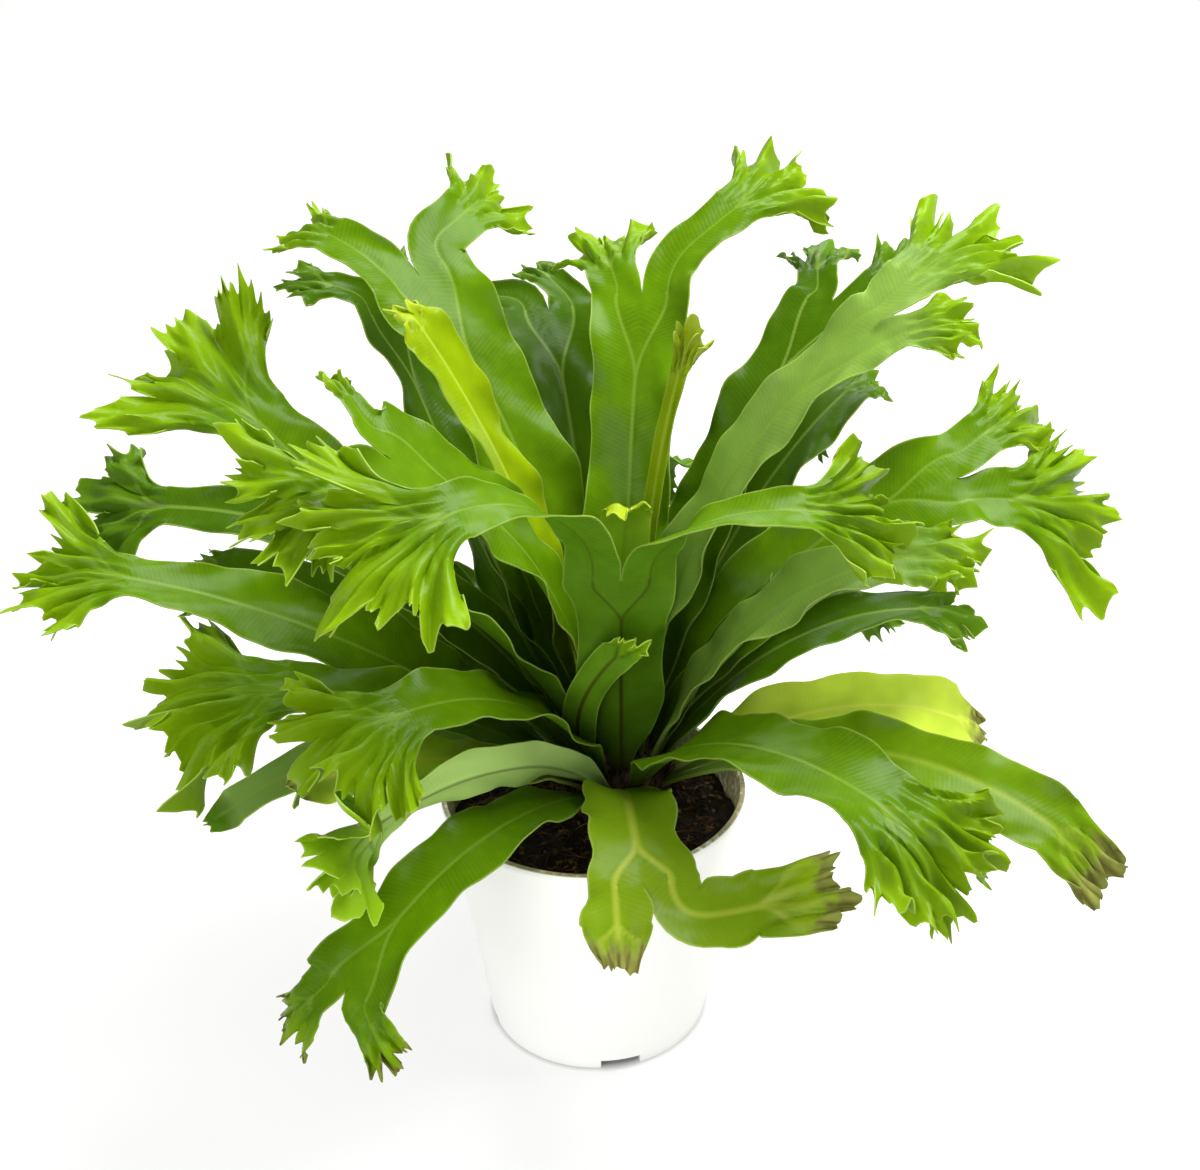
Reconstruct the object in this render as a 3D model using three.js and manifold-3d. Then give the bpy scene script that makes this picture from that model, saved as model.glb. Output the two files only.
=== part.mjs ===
// A crested bird's nest fern in a round white nursery pot, in millimetres, +Z up.
// The origin is the middle of the pot's flat foot and -Y is the front.
// Strap fronds stand round a short scaly crown. Each is one solid blade, which may
// fork, and whose ends open into lobed and ruffled fans.
import * as THREE from "three";
import { mergeVertices } from "three/addons/utils/BufferGeometryUtils.js";
import Module from "manifold-3d";

const wasm = await Module();
wasm.setup();

const GAP = 0.3;
const SIDES = 48;

// The pot.
const POT_HEIGHT = 106;
const RIM_RADIUS = 60;
const FOOT_RADIUS = 44;
const WALL = 1.6;
const BEAD = 0.8;
const BEAD_HEIGHT = 3.2;
const FLOOR = 2;
const FOOT_RING = 9;
const CENTRE_FOOT = 12;
const RECESS = 4;
const SLOTS = 4;
const SLOT_WIDTH = 16;
const SLOT_HEIGHT = 4.6;
const FRONT_SLOT = 281;
const DRAINS = 6;
const DRAIN_RADIUS = 4;
const DRAIN_CIRCLE = 24;

// The soil and the crown that stands in it.
const SOIL_TOP = 93;
const SOIL_SIDES = 40;
const SOIL_RINGS = 9;
const CROWN_X = 11;
const CROWN_Y = 3;
const CROWN_RADIUS = 21;
const CROWN_HEIGHT = 25;
const CROWN_MIDDLE = 100;
const CROWN_FOOT = 72;
const CROWN_TAPER = 6;
const CROWN_SHOULDER = 92;
const SCALE_ROWS = 6;
const SCALES = 18;
const SCALE_DEPTH = 0.8;

// The fronds.
const BLADE = 0.8;
const STALK_WIDTH = 6.5;
const STALK_THICKNESS = 1.6;
const THIN_AT = 0.4;
const WIDEST_AT = 0.62;
const FORK_SWELL = 0.25;
const SEAT_SHARE = 0.72;
const SEAT_GAP = 0.3;
const DROOP_POWER = 1.3;
const DISH = 0.16;
const WAVE_HEIGHT = 2;
const WAVE_LENGTH = 62;
const LOBE_CHANGE = 0.14;
const STEPS = 60;
const STRAP_ROWS = 10;
const ARM_ROWS = 4;
const FAN_ROWS = [{ q: 0.42, columns: 1 }, { q: 0.72, columns: 2 }, { q: 1, columns: 4 }];

const COLOUR = {
  leaf: 0x4f9a1c,
  young: 0x9ccc2e,
  dark: 0x2f6f1e,
  yellow: 0xb9cf45,
  pot: 0xf4f4f2,
  soil: 0x2a1c12,
  crown: 0x33241a,
};

// A fan: its radius, the angle that it opens through, and its lobes. Depth is how far
// the notches cut in, ruffle how high the lobes wave, both as shares of the radius, and
// curl is how far the fan rolls back, in degrees.
function fan(radius, spread, lobes, more = {}) {
  return { radius, spread, lobes, depth: 0.34, ruffle: 0.14, curl: 45, ...more };
}

// Heading is 0 to the right, 90 to the back, 180 to the left and 270 to the front. Rise
// is how steeply the stalk leaves the crown. Droop and sweep are the angles that the
// blade gathers down and to its right on its way, and roll tips its face to one side.
const FRONDS = [
  { name: "frond_left_tall", heading: 128, rise: 78, length: 196, droop: 36, sweep: -8, width: 34,
    arms: [
      { turn: -16, length: 34, droop: 22, width: 20, crest: fan(22, 110, 4, { curl: 70 }) },
      { turn: 76, length: 32, droop: 0, width: 22, crest: fan(26, 130, 4) },
    ] },
  { name: "frond_left_young", heading: 162, rise: 77, length: 184, droop: 8, sweep: -8, width: 20,
    colour: "young", crest: fan(12, 120, 3) },
  { name: "frond_left_rear", heading: 140, rise: 52, length: 194, droop: 6, sweep: 8, width: 28,
    colour: "dark",
    arms: [
      { turn: -60, length: 18, droop: 20, width: 12, crest: fan(18, 120, 3) },
      { turn: 15, length: 10, droop: 0, width: 18, crest: fan(28, 110, 4) },
    ] },
  { name: "frond_left_fan", heading: 165, rise: 50, length: 183, droop: 8, sweep: 4, roll: 35, width: 28,
    crest: fan(51, 130, 5, { depth: 0.5 }) },
  { name: "frond_left_low_rear", heading: 178, rise: 61, length: 196, droop: 66,
    sweep: 2, roll: 40, width: 26,
    colour: "dark", crest: fan(34, 150, 4, { depth: 0.5 }) },
  { name: "frond_front_tall", heading: 272, rise: 74, length: 104, droop: 6, sweep: 0, width: 32,
    arms: [
      { turn: -47, length: 70, droop: 22, twist: -25, width: 24,
        crest: fan(48, 140, 5, { depth: 0.45, curl: 80 }) },
      { turn: 44, length: 77, droop: 45, twist: 30, width: 28,
        crest: fan(42, 150, 6, { depth: 0.5, curl: 80 }) },
    ] },
  { name: "frond_left_arched", heading: 206, rise: 86, length: 170, droop: 56,
    sweep: -3, roll: 26, width: 36,
    arms: [
      { turn: -24, length: 24, droop: 12, width: 26, crest: fan(36, 150, 5, { depth: 0.45 }) },
      { turn: 55, length: 18, droop: -10, width: 10, crest: fan(12, 110, 3) },
    ] },
  { name: "frond_left_long", heading: 194, rise: 46, length: 192, droop: 28,
    sweep: 5, roll: 30, width: 34,
    crest: fan(36, 130, 5, { depth: 0.5 }) },
  { name: "frond_left_mid_rear", heading: 154, rise: 40, length: 160, droop: 38,
    sweep: -18, roll: 30, width: 26,
    colour: "dark", crest: fan(20, 110, 3) },
  { name: "frond_left_low", heading: 216, rise: 47, length: 135, droop: 31,
    sweep: 18, roll: 25, width: 26,
    crest: fan(50, 140, 6, { curl: 60 }) },
  { name: "frond_left_ribbed", heading: 245, rise: 62, length: 106, droop: 50, sweep: 24, roll: 20, width: 27,
    crest: fan(40, 130, 5, { curl: 60 }) },
  { name: "frond_front_left_folded", heading: 252, rise: 50, length: 130, droop: 60,
    sweep: 36, width: 24,
    crest: fan(32, 150, 5, { curl: 80, ruffle: 0.2 }) },
  { name: "frond_front_left_hanging", heading: 241, rise: 32, length: 148, droop: 78,
    sweep: 22, roll: 10, width: 27,
    arms: [
      { turn: -60, length: 8, droop: 5, width: 14, crest: fan(17, 80, 3) },
      { turn: 20, length: 10, droop: 5, width: 16, crest: fan(20, 90, 3) },
    ] },
  { name: "frond_left_yellow", heading: 220, rise: 30, length: 122, droop: 36,
    sweep: 4, roll: 10, width: 26,
    colour: "yellow", crest: fan(12, 50, 1, { curl: 0, depth: 0.1, ruffle: 0.05 }) },
  { name: "frond_left_narrow", heading: 192, rise: 35, length: 140, droop: 59,
    sweep: -18, roll: 20, width: 20,
    colour: "dark", crest: fan(12, 40, 1, { curl: 0, depth: 0.1, ruffle: 0.05 }) },
  { name: "frond_front_short", heading: 271, rise: 38, length: 84, droop: 56, sweep: -20, width: 31,
    arms: [
      { turn: -78, length: 44, droop: -18, width: 26, crest: fan(28, 70, 4, { depth: 0.2, curl: 20 }) },
      { turn: 4, length: 8, droop: 20, width: 26, crest: fan(21, 60, 3, { depth: 0.2 }) },
    ] },
  { name: "frond_right_folded", heading: 292, rise: 52, length: 138, droop: 68, sweep: -34, width: 30,
    crest: fan(46, 130, 6, { curl: 80 }) },
  { name: "frond_right_low_long", heading: 335, rise: 36, length: 164, droop: 61,
    sweep: 9, roll: -20, width: 25,
    crest: fan(26, 60, 4, { depth: 0.25 }) },
  { name: "frond_right_yellow", heading: 5, rise: 30, length: 124, droop: 60,
    sweep: -10, roll: -30, width: 26,
    colour: "yellow", crest: fan(20, 60, 3, { depth: 0.25 }) },
  { name: "frond_right_arched", heading: 340, rise: 69, length: 144, droop: 51,
    sweep: -1, roll: -15, width: 30,
    crest: fan(24, 120, 4) },
  { name: "frond_right_mid_rear", heading: 5, rise: 56, length: 121, droop: 62,
    sweep: -4, roll: -10, width: 24,
    colour: "dark", crest: fan(24, 110, 3) },
  { name: "frond_right_wide", heading: 24, rise: 62, length: 165, droop: 56,
    sweep: 12, roll: -35, width: 32,
    arms: [
      { turn: -25, length: 18, droop: 0, width: 20, crest: fan(28, 110, 4, { depth: 0.45 }) },
      { turn: 12, length: 18, droop: 10, width: 26, crest: fan(48, 140, 5, { depth: 0.5 }) },
    ] },
  { name: "frond_right_tall_rear", heading: 48, rise: 73, length: 190, droop: 42, sweep: 6, width: 30,
    colour: "dark",
    arms: [
      { turn: -40, length: 16, droop: 10, width: 16, crest: fan(24, 110, 3) },
      { turn: 10, length: 18, droop: 0, width: 18, crest: fan(24, 120, 4) },
    ] },
  { name: "frond_right_tall", heading: 343, rise: 86, length: 196, droop: 48,
    sweep: -17, roll: -40, width: 26,
    arms: [
      { turn: -18, length: 20, droop: 10, width: 24, crest: fan(40, 120, 6, { depth: 0.4 }) },
      { turn: 14, length: 10, droop: 5, width: 16, crest: fan(22, 110, 4) },
    ] },
  { name: "frond_back_tall", heading: 75, rise: 86, length: 176, droop: 45, sweep: -5, width: 32,
    arms: [
      { turn: -22, length: 14, droop: 10, width: 20, crest: fan(26, 120, 4) },
      { turn: 42, length: 48, droop: 10, width: 20, crest: fan(38, 110, 5) },
    ] },
  { name: "frond_back_left", heading: 103, rise: 68, length: 182, droop: 41, sweep: 3, width: 32,
    colour: "dark",
    arms: [
      { turn: -75, length: 24, droop: 10, width: 14, crest: fan(15, 110, 3) },
      { turn: -25, length: 22, droop: 10, width: 14, crest: fan(16, 110, 3) },
    ] },
  { name: "frond_centre_young", heading: 32, rise: 84, length: 150, droop: 2, sweep: 0, width: 8,
    colour: "young", crest: fan(14, 110, 3, { curl: 120 }) },
  { name: "frond_front_young", heading: 268, rise: 87, length: 104, droop: 8, sweep: -5, width: 18,
    colour: "young", crest: fan(14, 70, 2, { curl: 120 }) },
  { name: "frond_inner_left", heading: 217, rise: 68, length: 112, droop: 26, sweep: 4, width: 23,
    crest: fan(12, 60, 2) },
  { name: "frond_inner_left_rear", heading: 186, rise: 70, length: 112, droop: 6, sweep: 10, width: 24,
    colour: "dark", crest: fan(14, 60, 2) },
  { name: "frond_inner_right", heading: 13, rise: 69, length: 70, droop: 22, sweep: -5, width: 15,
    colour: "dark", crest: fan(12, 60, 2) },
  { name: "frond_front_twisted", heading: 269, rise: 57, length: 76, droop: -34, sweep: -28, width: 14,
    crest: fan(14, 90, 2) },
  { name: "frond_rear_right_tall", heading: 49, rise: 63, length: 170, droop: 35, sweep: 4, width: 26,
    colour: "dark", crest: fan(20, 110, 3) },
  { name: "frond_rear_right", heading: 58, rise: 56, length: 146, droop: 44, sweep: 0, width: 26,
    colour: "dark", crest: fan(26, 120, 3, { curl: 90 }) },
  { name: "frond_rear_left_tall", heading: 115, rise: 60, length: 170, droop: 40, sweep: 0, width: 26,
    colour: "dark", crest: fan(20, 110, 3) },
  { name: "frond_rear_left_low", heading: 128, rise: 34, length: 150, droop: 60, sweep: 5, width: 30,
    colour: "dark", crest: fan(34, 130, 4, { curl: 70 }) },
  { name: "frond_rear_low", heading: 104, rise: 30, length: 165, droop: 70, sweep: 5, width: 32,
    colour: "dark", crest: fan(40, 130, 5, { curl: 70 }) },
  { name: "frond_rear_arched", heading: 88, rise: 52, length: 175, droop: 75, sweep: 0, width: 32,
    colour: "dark", crest: fan(44, 140, 5, { curl: 60 }) },
  { name: "frond_rear_hanging", heading: 76, rise: 28, length: 160, droop: 70, sweep: 0, width: 30,
    colour: "dark", crest: fan(36, 130, 4, { curl: 70 }) },
  { name: "frond_rear_right_low", heading: 50, rise: 33, length: 150, droop: 65, sweep: -5, width: 30,
    colour: "dark", crest: fan(36, 130, 4, { curl: 70 }) },
];

const radians = THREE.MathUtils.degToRad;
const smooth = (x) => THREE.MathUtils.smoothstep(x, 0, 1);

// A closed solid from plain positions and triangles.
function geometryOf(points, triangles) {
  const geometry = new THREE.BufferGeometry();
  const positions = points.flatMap((p) => p.toArray());
  geometry.setAttribute("position", new THREE.Float32BufferAttribute(positions, 3));
  geometry.setIndex(triangles.flat());
  geometry.computeVertexNormals();
  return geometry;
}

// The solid of a closed geometry, for cutting and joining.
function solidOf(geometry) {
  const bare = geometry.clone();
  bare.deleteAttribute("normal");
  bare.deleteAttribute("uv");
  const merged = mergeVertices(bare, 1e-3);
  return new wasm.Manifold(new wasm.Mesh({
    numProp: 3,
    vertProperties: merged.attributes.position.array,
    triVerts: new Uint32Array(merged.index.array),
  }));
}

// The geometry of a solid.
function geometryOfSolid(solid) {
  const mesh = solid.getMesh();
  const geometry = new THREE.BufferGeometry();
  geometry.setAttribute("position", new THREE.BufferAttribute(mesh.vertProperties, 3));
  geometry.setIndex(new THREE.BufferAttribute(mesh.triVerts, 1));
  geometry.computeVertexNormals();
  return geometry;
}

// A lathe about the vertical, from [radius, height] pairs that run up the outside.
function lathe(profile, sides = SIDES) {
  const outline = profile.map(([r, z]) => new THREE.Vector2(r, z));
  const geometry = new THREE.LatheGeometry(outline, sides);
  geometry.rotateX(Math.PI / 2);
  return geometry;
}

function outerRadius(z) {
  return THREE.MathUtils.lerp(FOOT_RADIUS, RIM_RADIUS - BEAD, z / POT_HEIGHT);
}

// A box that cuts the foot ring open at a heading.
function footSlot(heading) {
  const slot = new THREE.BoxGeometry(FOOT_RADIUS, SLOT_WIDTH, SLOT_HEIGHT * 2);
  slot.translate(FOOT_RADIUS, 0, 0);
  slot.rotateZ(radians(heading));
  return solidOf(slot);
}

// A drain hole through the floor at a heading.
function drain(heading) {
  const hole = new THREE.CylinderGeometry(DRAIN_RADIUS, DRAIN_RADIUS, FLOOR * 4, 12);
  hole.rotateX(Math.PI / 2);
  hole.translate(DRAIN_CIRCLE, 0, RECESS + FLOOR / 2);
  hole.rotateZ(radians(heading));
  return solidOf(hole);
}

// A thin tapered cup with a small bead round the rim. It stands on a ring foot and a flat
// centre, and the raised floor between them has the drain holes, which empty through
// slots in the ring.
function pot() {
  const beadFoot = POT_HEIGHT - BEAD_HEIGHT;
  const cup = lathe([
    [0, 0],
    [CENTRE_FOOT, 0],
    [CENTRE_FOOT, RECESS],
    [FOOT_RADIUS - FOOT_RING, RECESS],
    [FOOT_RADIUS - FOOT_RING, 0],
    [FOOT_RADIUS - 1, 0],
    [FOOT_RADIUS, 1],
    [outerRadius(beadFoot), beadFoot],
    [RIM_RADIUS, beadFoot + BEAD],
    [RIM_RADIUS, POT_HEIGHT - BEAD],
    [RIM_RADIUS - BEAD, POT_HEIGHT],
    [RIM_RADIUS - BEAD - WALL, POT_HEIGHT],
    [outerRadius(RECESS + FLOOR) - WALL, RECESS + FLOOR],
    [CENTRE_FOOT - WALL, RECESS + FLOOR],
    [CENTRE_FOOT - WALL, FLOOR],
    [0, FLOOR],
  ]);
  let solid = solidOf(cup);
  for (let i = 0; i < SLOTS; i += 1) {
    solid = solid.subtract(footSlot(FRONT_SLOT + (360 / SLOTS) * i));
  }
  for (let i = 0; i < DRAINS; i += 1) {
    solid = solid.subtract(drain((360 / DRAINS) * i));
  }
  return geometryOfSolid(solid);
}

// The uneven level of the soil.
function soilLevel(x, y) {
  return SOIL_TOP + 1.6 * Math.sin(x / 9 + 1) * Math.cos(y / 7) + 1.2 * Math.sin(x / 4.1 - y / 5.3)
    + 3 * Math.exp(-((x - CROWN_X) ** 2 + (y - CROWN_Y) ** 2) / 900);
}

// The soil fills the pot up to its uneven level, with a plain hole for the crown.
function soil() {
  const foot = RECESS + FLOOR + GAP;
  const inside = (z) => outerRadius(z) - WALL - GAP;
  const shoulder = SOIL_TOP - 4;
  const dip = CENTRE_FOOT - WALL - GAP;
  const points = [new THREE.Vector3(0, 0, FLOOR + GAP)];
  const triangles = [];
  const levels = [
    [dip, FLOOR + GAP],
    [dip, foot],
    [inside(foot) - 1, foot],
    [inside(shoulder) - 0.6, shoulder],
  ];
  for (let k = 0; k < SOIL_RINGS; k += 1) {
    levels.push([(inside(shoulder) - 1) * (1 - k / SOIL_RINGS), null]);
  }
  levels.forEach(([r, z]) => {
    for (let i = 0; i < SOIL_SIDES; i += 1) {
      const a = (2 * Math.PI * i) / SOIL_SIDES;
      const x = r * Math.cos(a);
      const y = r * Math.sin(a);
      points.push(new THREE.Vector3(x, y, z ?? soilLevel(x, y)));
    }
  });
  points.push(new THREE.Vector3(0, 0, soilLevel(0, 0)));
  const top = points.length - 1;
  for (let i = 0; i < SOIL_SIDES; i += 1) {
    const j = (i + 1) % SOIL_SIDES;
    triangles.push([0, 1 + j, 1 + i]);
    for (let k = 0; k + 1 < levels.length; k += 1) {
      const a = 1 + k * SOIL_SIDES;
      const b = a + SOIL_SIDES;
      triangles.push([a + i, a + j, b + j], [a + i, b + j, b + i]);
    }
    const last = 1 + (levels.length - 1) * SOIL_SIDES;
    triangles.push([last + i, last + j, top]);
  }
  const hole = lathe([
    [0, CROWN_FOOT - GAP],
    [CROWN_RADIUS - CROWN_TAPER + GAP, CROWN_FOOT - GAP],
    [CROWN_RADIUS + GAP * 2, CROWN_SHOULDER],
    [CROWN_RADIUS + GAP * 2, POT_HEIGHT],
    [0, POT_HEIGHT],
  ], SCALES * 2);
  hole.translate(CROWN_X, CROWN_Y, 0);
  return geometryOfSolid(solidOf(geometryOf(points, triangles)).subtract(solidOf(hole)));
}

// The crown is a short upright rootstock whose dome is rough with overlapping scales.
function crown() {
  const points = [new THREE.Vector3(0, 0, CROWN_FOOT)];
  const triangles = [];
  const ring = (radius, z, rough) => {
    const start = points.length;
    for (let i = 0; i < SCALES; i += 1) {
      const a = (2 * Math.PI * i) / SCALES;
      const r = radius - (i % 2 === rough ? SCALE_DEPTH : 0);
      points.push(new THREE.Vector3(r * Math.cos(a), r * Math.sin(a), z));
    }
    return start;
  };
  const rings = [ring(CROWN_RADIUS - CROWN_TAPER, CROWN_FOOT, 2), ring(CROWN_RADIUS, CROWN_SHOULDER, 0)];
  for (let k = 0; k < SCALE_ROWS; k += 1) {
    const a = (Math.PI / 2) * (k / SCALE_ROWS);
    rings.push(ring(CROWN_RADIUS * Math.cos(a), CROWN_MIDDLE + CROWN_HEIGHT * Math.sin(a), k % 2));
  }
  points.push(new THREE.Vector3(0, 0, CROWN_MIDDLE + CROWN_HEIGHT));
  const top = points.length - 1;
  for (let i = 0; i < SCALES; i += 1) {
    const j = (i + 1) % SCALES;
    triangles.push([0, 1 + j, 1 + i]);
    for (let k = 0; k + 1 < rings.length; k += 1) {
      const below = rings[k];
      const above = rings[k + 1];
      triangles.push([below + i, below + j, above + j], [below + i, above + j, above + i]);
    }
    triangles.push([rings.at(-1) + i, rings.at(-1) + j, top]);
  }
  const geometry = geometryOf(points, triangles);
  geometry.translate(CROWN_X, CROWN_Y, 0);
  return geometry;
}

// The place and the axes of a blade where its stalk leaves the crown: along it, to its
// right and out of its upper face. Steep stalks stand high on the dome.
function stalkFrame({ heading, rise }) {
  const direction = (turn, climb) => new THREE.Vector3(
    Math.cos(climb) * Math.cos(turn), Math.cos(climb) * Math.sin(turn), Math.sin(climb));
  const along = direction(radians(heading), radians(rise));
  const right = new THREE.Vector3(Math.sin(radians(heading)), -Math.cos(radians(heading)), 0);
  const outside = new THREE.Vector3(CROWN_RADIUS, CROWN_RADIUS, CROWN_HEIGHT).addScalar(SEAT_GAP);
  const point = new THREE.Vector3(CROWN_X, CROWN_Y, CROWN_MIDDLE)
    .add(direction(radians(heading), radians(rise * SEAT_SHARE)).multiply(outside));
  return { point, along, right, up: new THREE.Vector3().crossVectors(right, along) };
}

// The frames along a stretch of blade, which droops, sweeps, turns early and twists.
function walk(start, { length, droop = 0, sweep = 0, turn = 0, twist = 0 }) {
  const frames = [start];
  let { point, along, right, up } = start;
  const gathered = (f) => [
    radians(droop) * f ** DROOP_POWER,
    radians(sweep) * f + radians(turn) * smooth(f / 0.6),
    radians(twist) * f,
  ];
  for (let i = 0; i < STEPS; i += 1) {
    const before = gathered(i / STEPS);
    const after = gathered((i + 1) / STEPS);
    const [pitch, yaw, spin] = after.map((v, k) => v - before[k]);
    point = point.clone().addScaledVector(along, length / STEPS);
    along = along.clone().applyAxisAngle(right, -pitch);
    up = up.clone().applyAxisAngle(right, -pitch);
    along.applyAxisAngle(up, -yaw);
    right = right.clone().applyAxisAngle(up, -yaw).applyAxisAngle(along, -spin);
    up = new THREE.Vector3().crossVectors(right, along);
    frames.push({ point, along, right, up });
  }
  return frames;
}

// The same frame with its face tipped about its length.
function tipped({ point, along, right, up }, angle) {
  const side = right.clone().applyAxisAngle(along, -angle);
  return { point, along, right: side, up: new THREE.Vector3().crossVectors(side, along) };
}

// A sheet of rows of points, which becomes a blade of some thickness.
class Sheet {
  points = [];
  halves = [];
  triangles = [];

  // A row is a list of [t, point], with t from -1 on the left edge to 1 on the right.
  row(list, thickness) {
    return list.map(([t, point]) => {
      this.points.push(point);
      this.halves.push(thickness / 2);
      return { t, index: this.points.length - 1 };
    });
  }

  // Triangles between two rows that may hold different numbers of points.
  stitch(near, far) {
    let i = 0;
    let j = 0;
    while (i + 1 < near.length || j + 1 < far.length) {
      const nextNear = i + 1 < near.length ? near[i + 1].t : Infinity;
      const nextFar = j + 1 < far.length ? far[j + 1].t : Infinity;
      if (nextNear < nextFar - 1e-6) {
        this.triangles.push([near[i].index, near[i + 1].index, far[j].index]);
        i += 1;
      } else {
        this.triangles.push([near[i].index, far[j + 1].index, far[j].index]);
        j += 1;
      }
    }
  }

  // The solid blade: the sheet offset to both sides, with the same triangles on both
  // faces and a wall round every open edge.
  thicken() {
    const count = this.points.length;
    const normals = this.points.map(() => new THREE.Vector3());
    this.triangles.forEach(([a, b, c]) => {
      const n = new THREE.Vector3().subVectors(this.points[b], this.points[a])
        .cross(new THREE.Vector3().subVectors(this.points[c], this.points[a]));
      [a, b, c].forEach((k) => normals[k].add(n));
    });
    const shifted = (sign) => this.points.map((p, k) => p.clone().addScaledVector(
      normals[k].normalize(), sign * this.halves[k]));
    const points = [...shifted(1), ...shifted(-1)];
    const triangles = [];
    const sidesOf = ([a, b, c]) => [[a, b], [b, c], [c, a]];
    const edges = new Set(this.triangles.flatMap(sidesOf).map(([u, v]) => `${u} ${v}`));
    this.triangles.forEach((triangle) => {
      const [a, b, c] = triangle;
      triangles.push([a, b, c], [a + count, c + count, b + count]);
      sidesOf(triangle).forEach(([u, v]) => {
        if (edges.has(`${v} ${u}`)) return;
        triangles.push([v, u, u + count], [v, u + count, v + count]);
      });
    });
    return geometryOf(points, triangles);
  }
}

// The fan at the end of a blade: rows that swing out from the last row of the strap to a
// lobed rim. Every lobe has its own length, and is ruffled and rolled back.
function addFan(sheet, last, frame, width, crest) {
  const { radius, spread, lobes, depth, ruffle, curl } = crest;
  const bendBack = radians(curl) / (radius * 1.2);
  const own = (lobe, k) => Math.sin(lobe * 2.4 + radius * k);
  let row = last;
  FAN_ROWS.forEach(({ q, columns }) => {
    const count = lobes * columns;
    const list = [];
    for (let i = 0; i <= count; i += 1) {
      const t = (2 * i) / count - 1;
      const u = (lobes * (t + 1)) / 2;
      const lobe = Math.floor(Math.min(u, lobes - 0.5));
      const inLobe = Math.sin(Math.PI * (u - lobe));
      const notch = (1 - inLobe) ** 1.5;
      const angle = radians(spread / 2) * t;
      const rim = radius * (1 - depth * notch + LOBE_CHANGE * own(lobe, 1) * inLobe);
      const x0 = (width / 2) * t;
      const x2 = rim * Math.sin(angle);
      const y1 = radius * (0.45 - 0.15 * t * t);
      const y2 = radius * 0.15 + rim * Math.cos(angle);
      const x = (1 - q * q) * x0 + q * q * x2;
      const y = 2 * q * (1 - q) * y1 + q * q * y2;
      const waved = Math.sin(2 * Math.PI * u) - inLobe * own(lobe, 2);
      const lift = radius * ruffle * q ** 1.5 * waved;
      const roll = bendBack * y * (1 + 0.5 * q * own(lobe, 3) * inLobe);
      const along = roll === 0 ? y : (y * Math.sin(roll)) / roll;
      const down = roll === 0 ? 0 : (y * (1 - Math.cos(roll))) / roll;
      list.push([t, frame.point.clone()
        .addScaledVector(frame.right, x)
        .addScaledVector(frame.along, along + lift * Math.sin(roll))
        .addScaledVector(frame.up, lift * Math.cos(roll) - down)]);
    }
    const next = sheet.row(list, BLADE);
    sheet.stitch(row, next);
    row = next;
  });
}

// A stretch of strap from a row that is there already, then its arms or its fan.
function addStrap(sheet, first, frames, part, rows, widthAt, thicknessAt, roll) {
  let row = first;
  let frame = frames[0];
  for (let i = 1; i <= rows; i += 1) {
    const f = i / rows;
    frame = tipped(frames[Math.round(STEPS * f)], radians(roll) * smooth(f / 0.5));
    const half = widthAt(f) / 2;
    const along = (f * part.length) / WAVE_LENGTH;
    const swell = WAVE_HEIGHT * Math.min(1, half / 15);
    const ripple = (t) => swell * Math.sin(2 * Math.PI * (along + 0.3 * t) + part.length);
    const here = frame;
    const list = [-1, 0, 1].map((t) => [t, here.point.clone()
      .addScaledVector(here.right, half * t)
      .addScaledVector(here.up, t * t * (DISH * half + ripple(t)))]);
    const next = sheet.row(list, thicknessAt(f));
    sheet.stitch(row, next);
    row = next;
  }
  finish(sheet, row, frame, widthAt(1), part);
}

// What the last row of a strap carries: two arms that each take half of it, or a fan.
function finish(sheet, row, frame, width, part) {
  if (part.crest) {
    addFan(sheet, row, frame, width, part.crest);
    return;
  }
  part.arms.forEach((arm, k) => {
    const half = row.slice(k, k + 2).map(({ index }, i) => ({ t: i * 2 - 1, index }));
    const middle = frame.point.clone().addScaledVector(frame.right, ((k - 0.5) * width) / 2);
    const frames = walk({ ...frame, point: middle }, arm);
    const widthAt = (f) => THREE.MathUtils.lerp(width / 2, arm.width, smooth(f / 0.8));
    addStrap(sheet, half, frames, arm, ARM_ROWS, widthAt, () => BLADE, 0);
  });
}

function frond(spec) {
  const sheet = new Sheet();
  const start = stalkFrame(spec);
  const first = sheet.row([-1, 0, 1].map((t) => [t, start.point.clone()
    .addScaledVector(start.right, (STALK_WIDTH / 2) * t)]), STALK_THICKNESS);
  const widthAt = (f) => THREE.MathUtils.lerp(STALK_WIDTH, spec.width, smooth(f / WIDEST_AT))
    * (spec.arms ? 1 + FORK_SWELL * smooth((f - 0.8) / 0.2) : 1);
  const thicknessAt = (f) => THREE.MathUtils.lerp(STALK_THICKNESS, BLADE, smooth(f / THIN_AT));
  addStrap(sheet, first, walk(start, spec), spec, STRAP_ROWS, widthAt, thicknessAt, spec.roll ?? 0);
  return sheet.thicken();
}

const finishes = {
  leaf: { roughness: 0.4 },
  young: { roughness: 0.4 },
  dark: { roughness: 0.45 },
  yellow: { roughness: 0.5 },
  pot: { roughness: 0.35 },
  soil: { roughness: 0.95 },
  crown: { roughness: 0.9 },
};

function mesh(name, geometry, look) {
  const material = new THREE.MeshStandardMaterial({ color: COLOUR[look], metalness: 0, ...finishes[look] });
  const made = new THREE.Mesh(geometry, material);
  made.name = name;
  return made;
}

const plant = new THREE.Group();
plant.add(mesh("pot", pot(), "pot"));
plant.add(mesh("soil", soil(), "soil"));
plant.add(mesh("crown", crown(), "crown"));
FRONDS.forEach((spec) => plant.add(mesh(spec.name, frond(spec), spec.colour ?? "leaf")));

export default plant;
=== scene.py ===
import math
import random

import bpy
import numpy as np
from bpy.props import FloatProperty, FloatVectorProperty, IntProperty, PointerProperty
from mathutils import Matrix, Quaternion, Vector, noise


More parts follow.
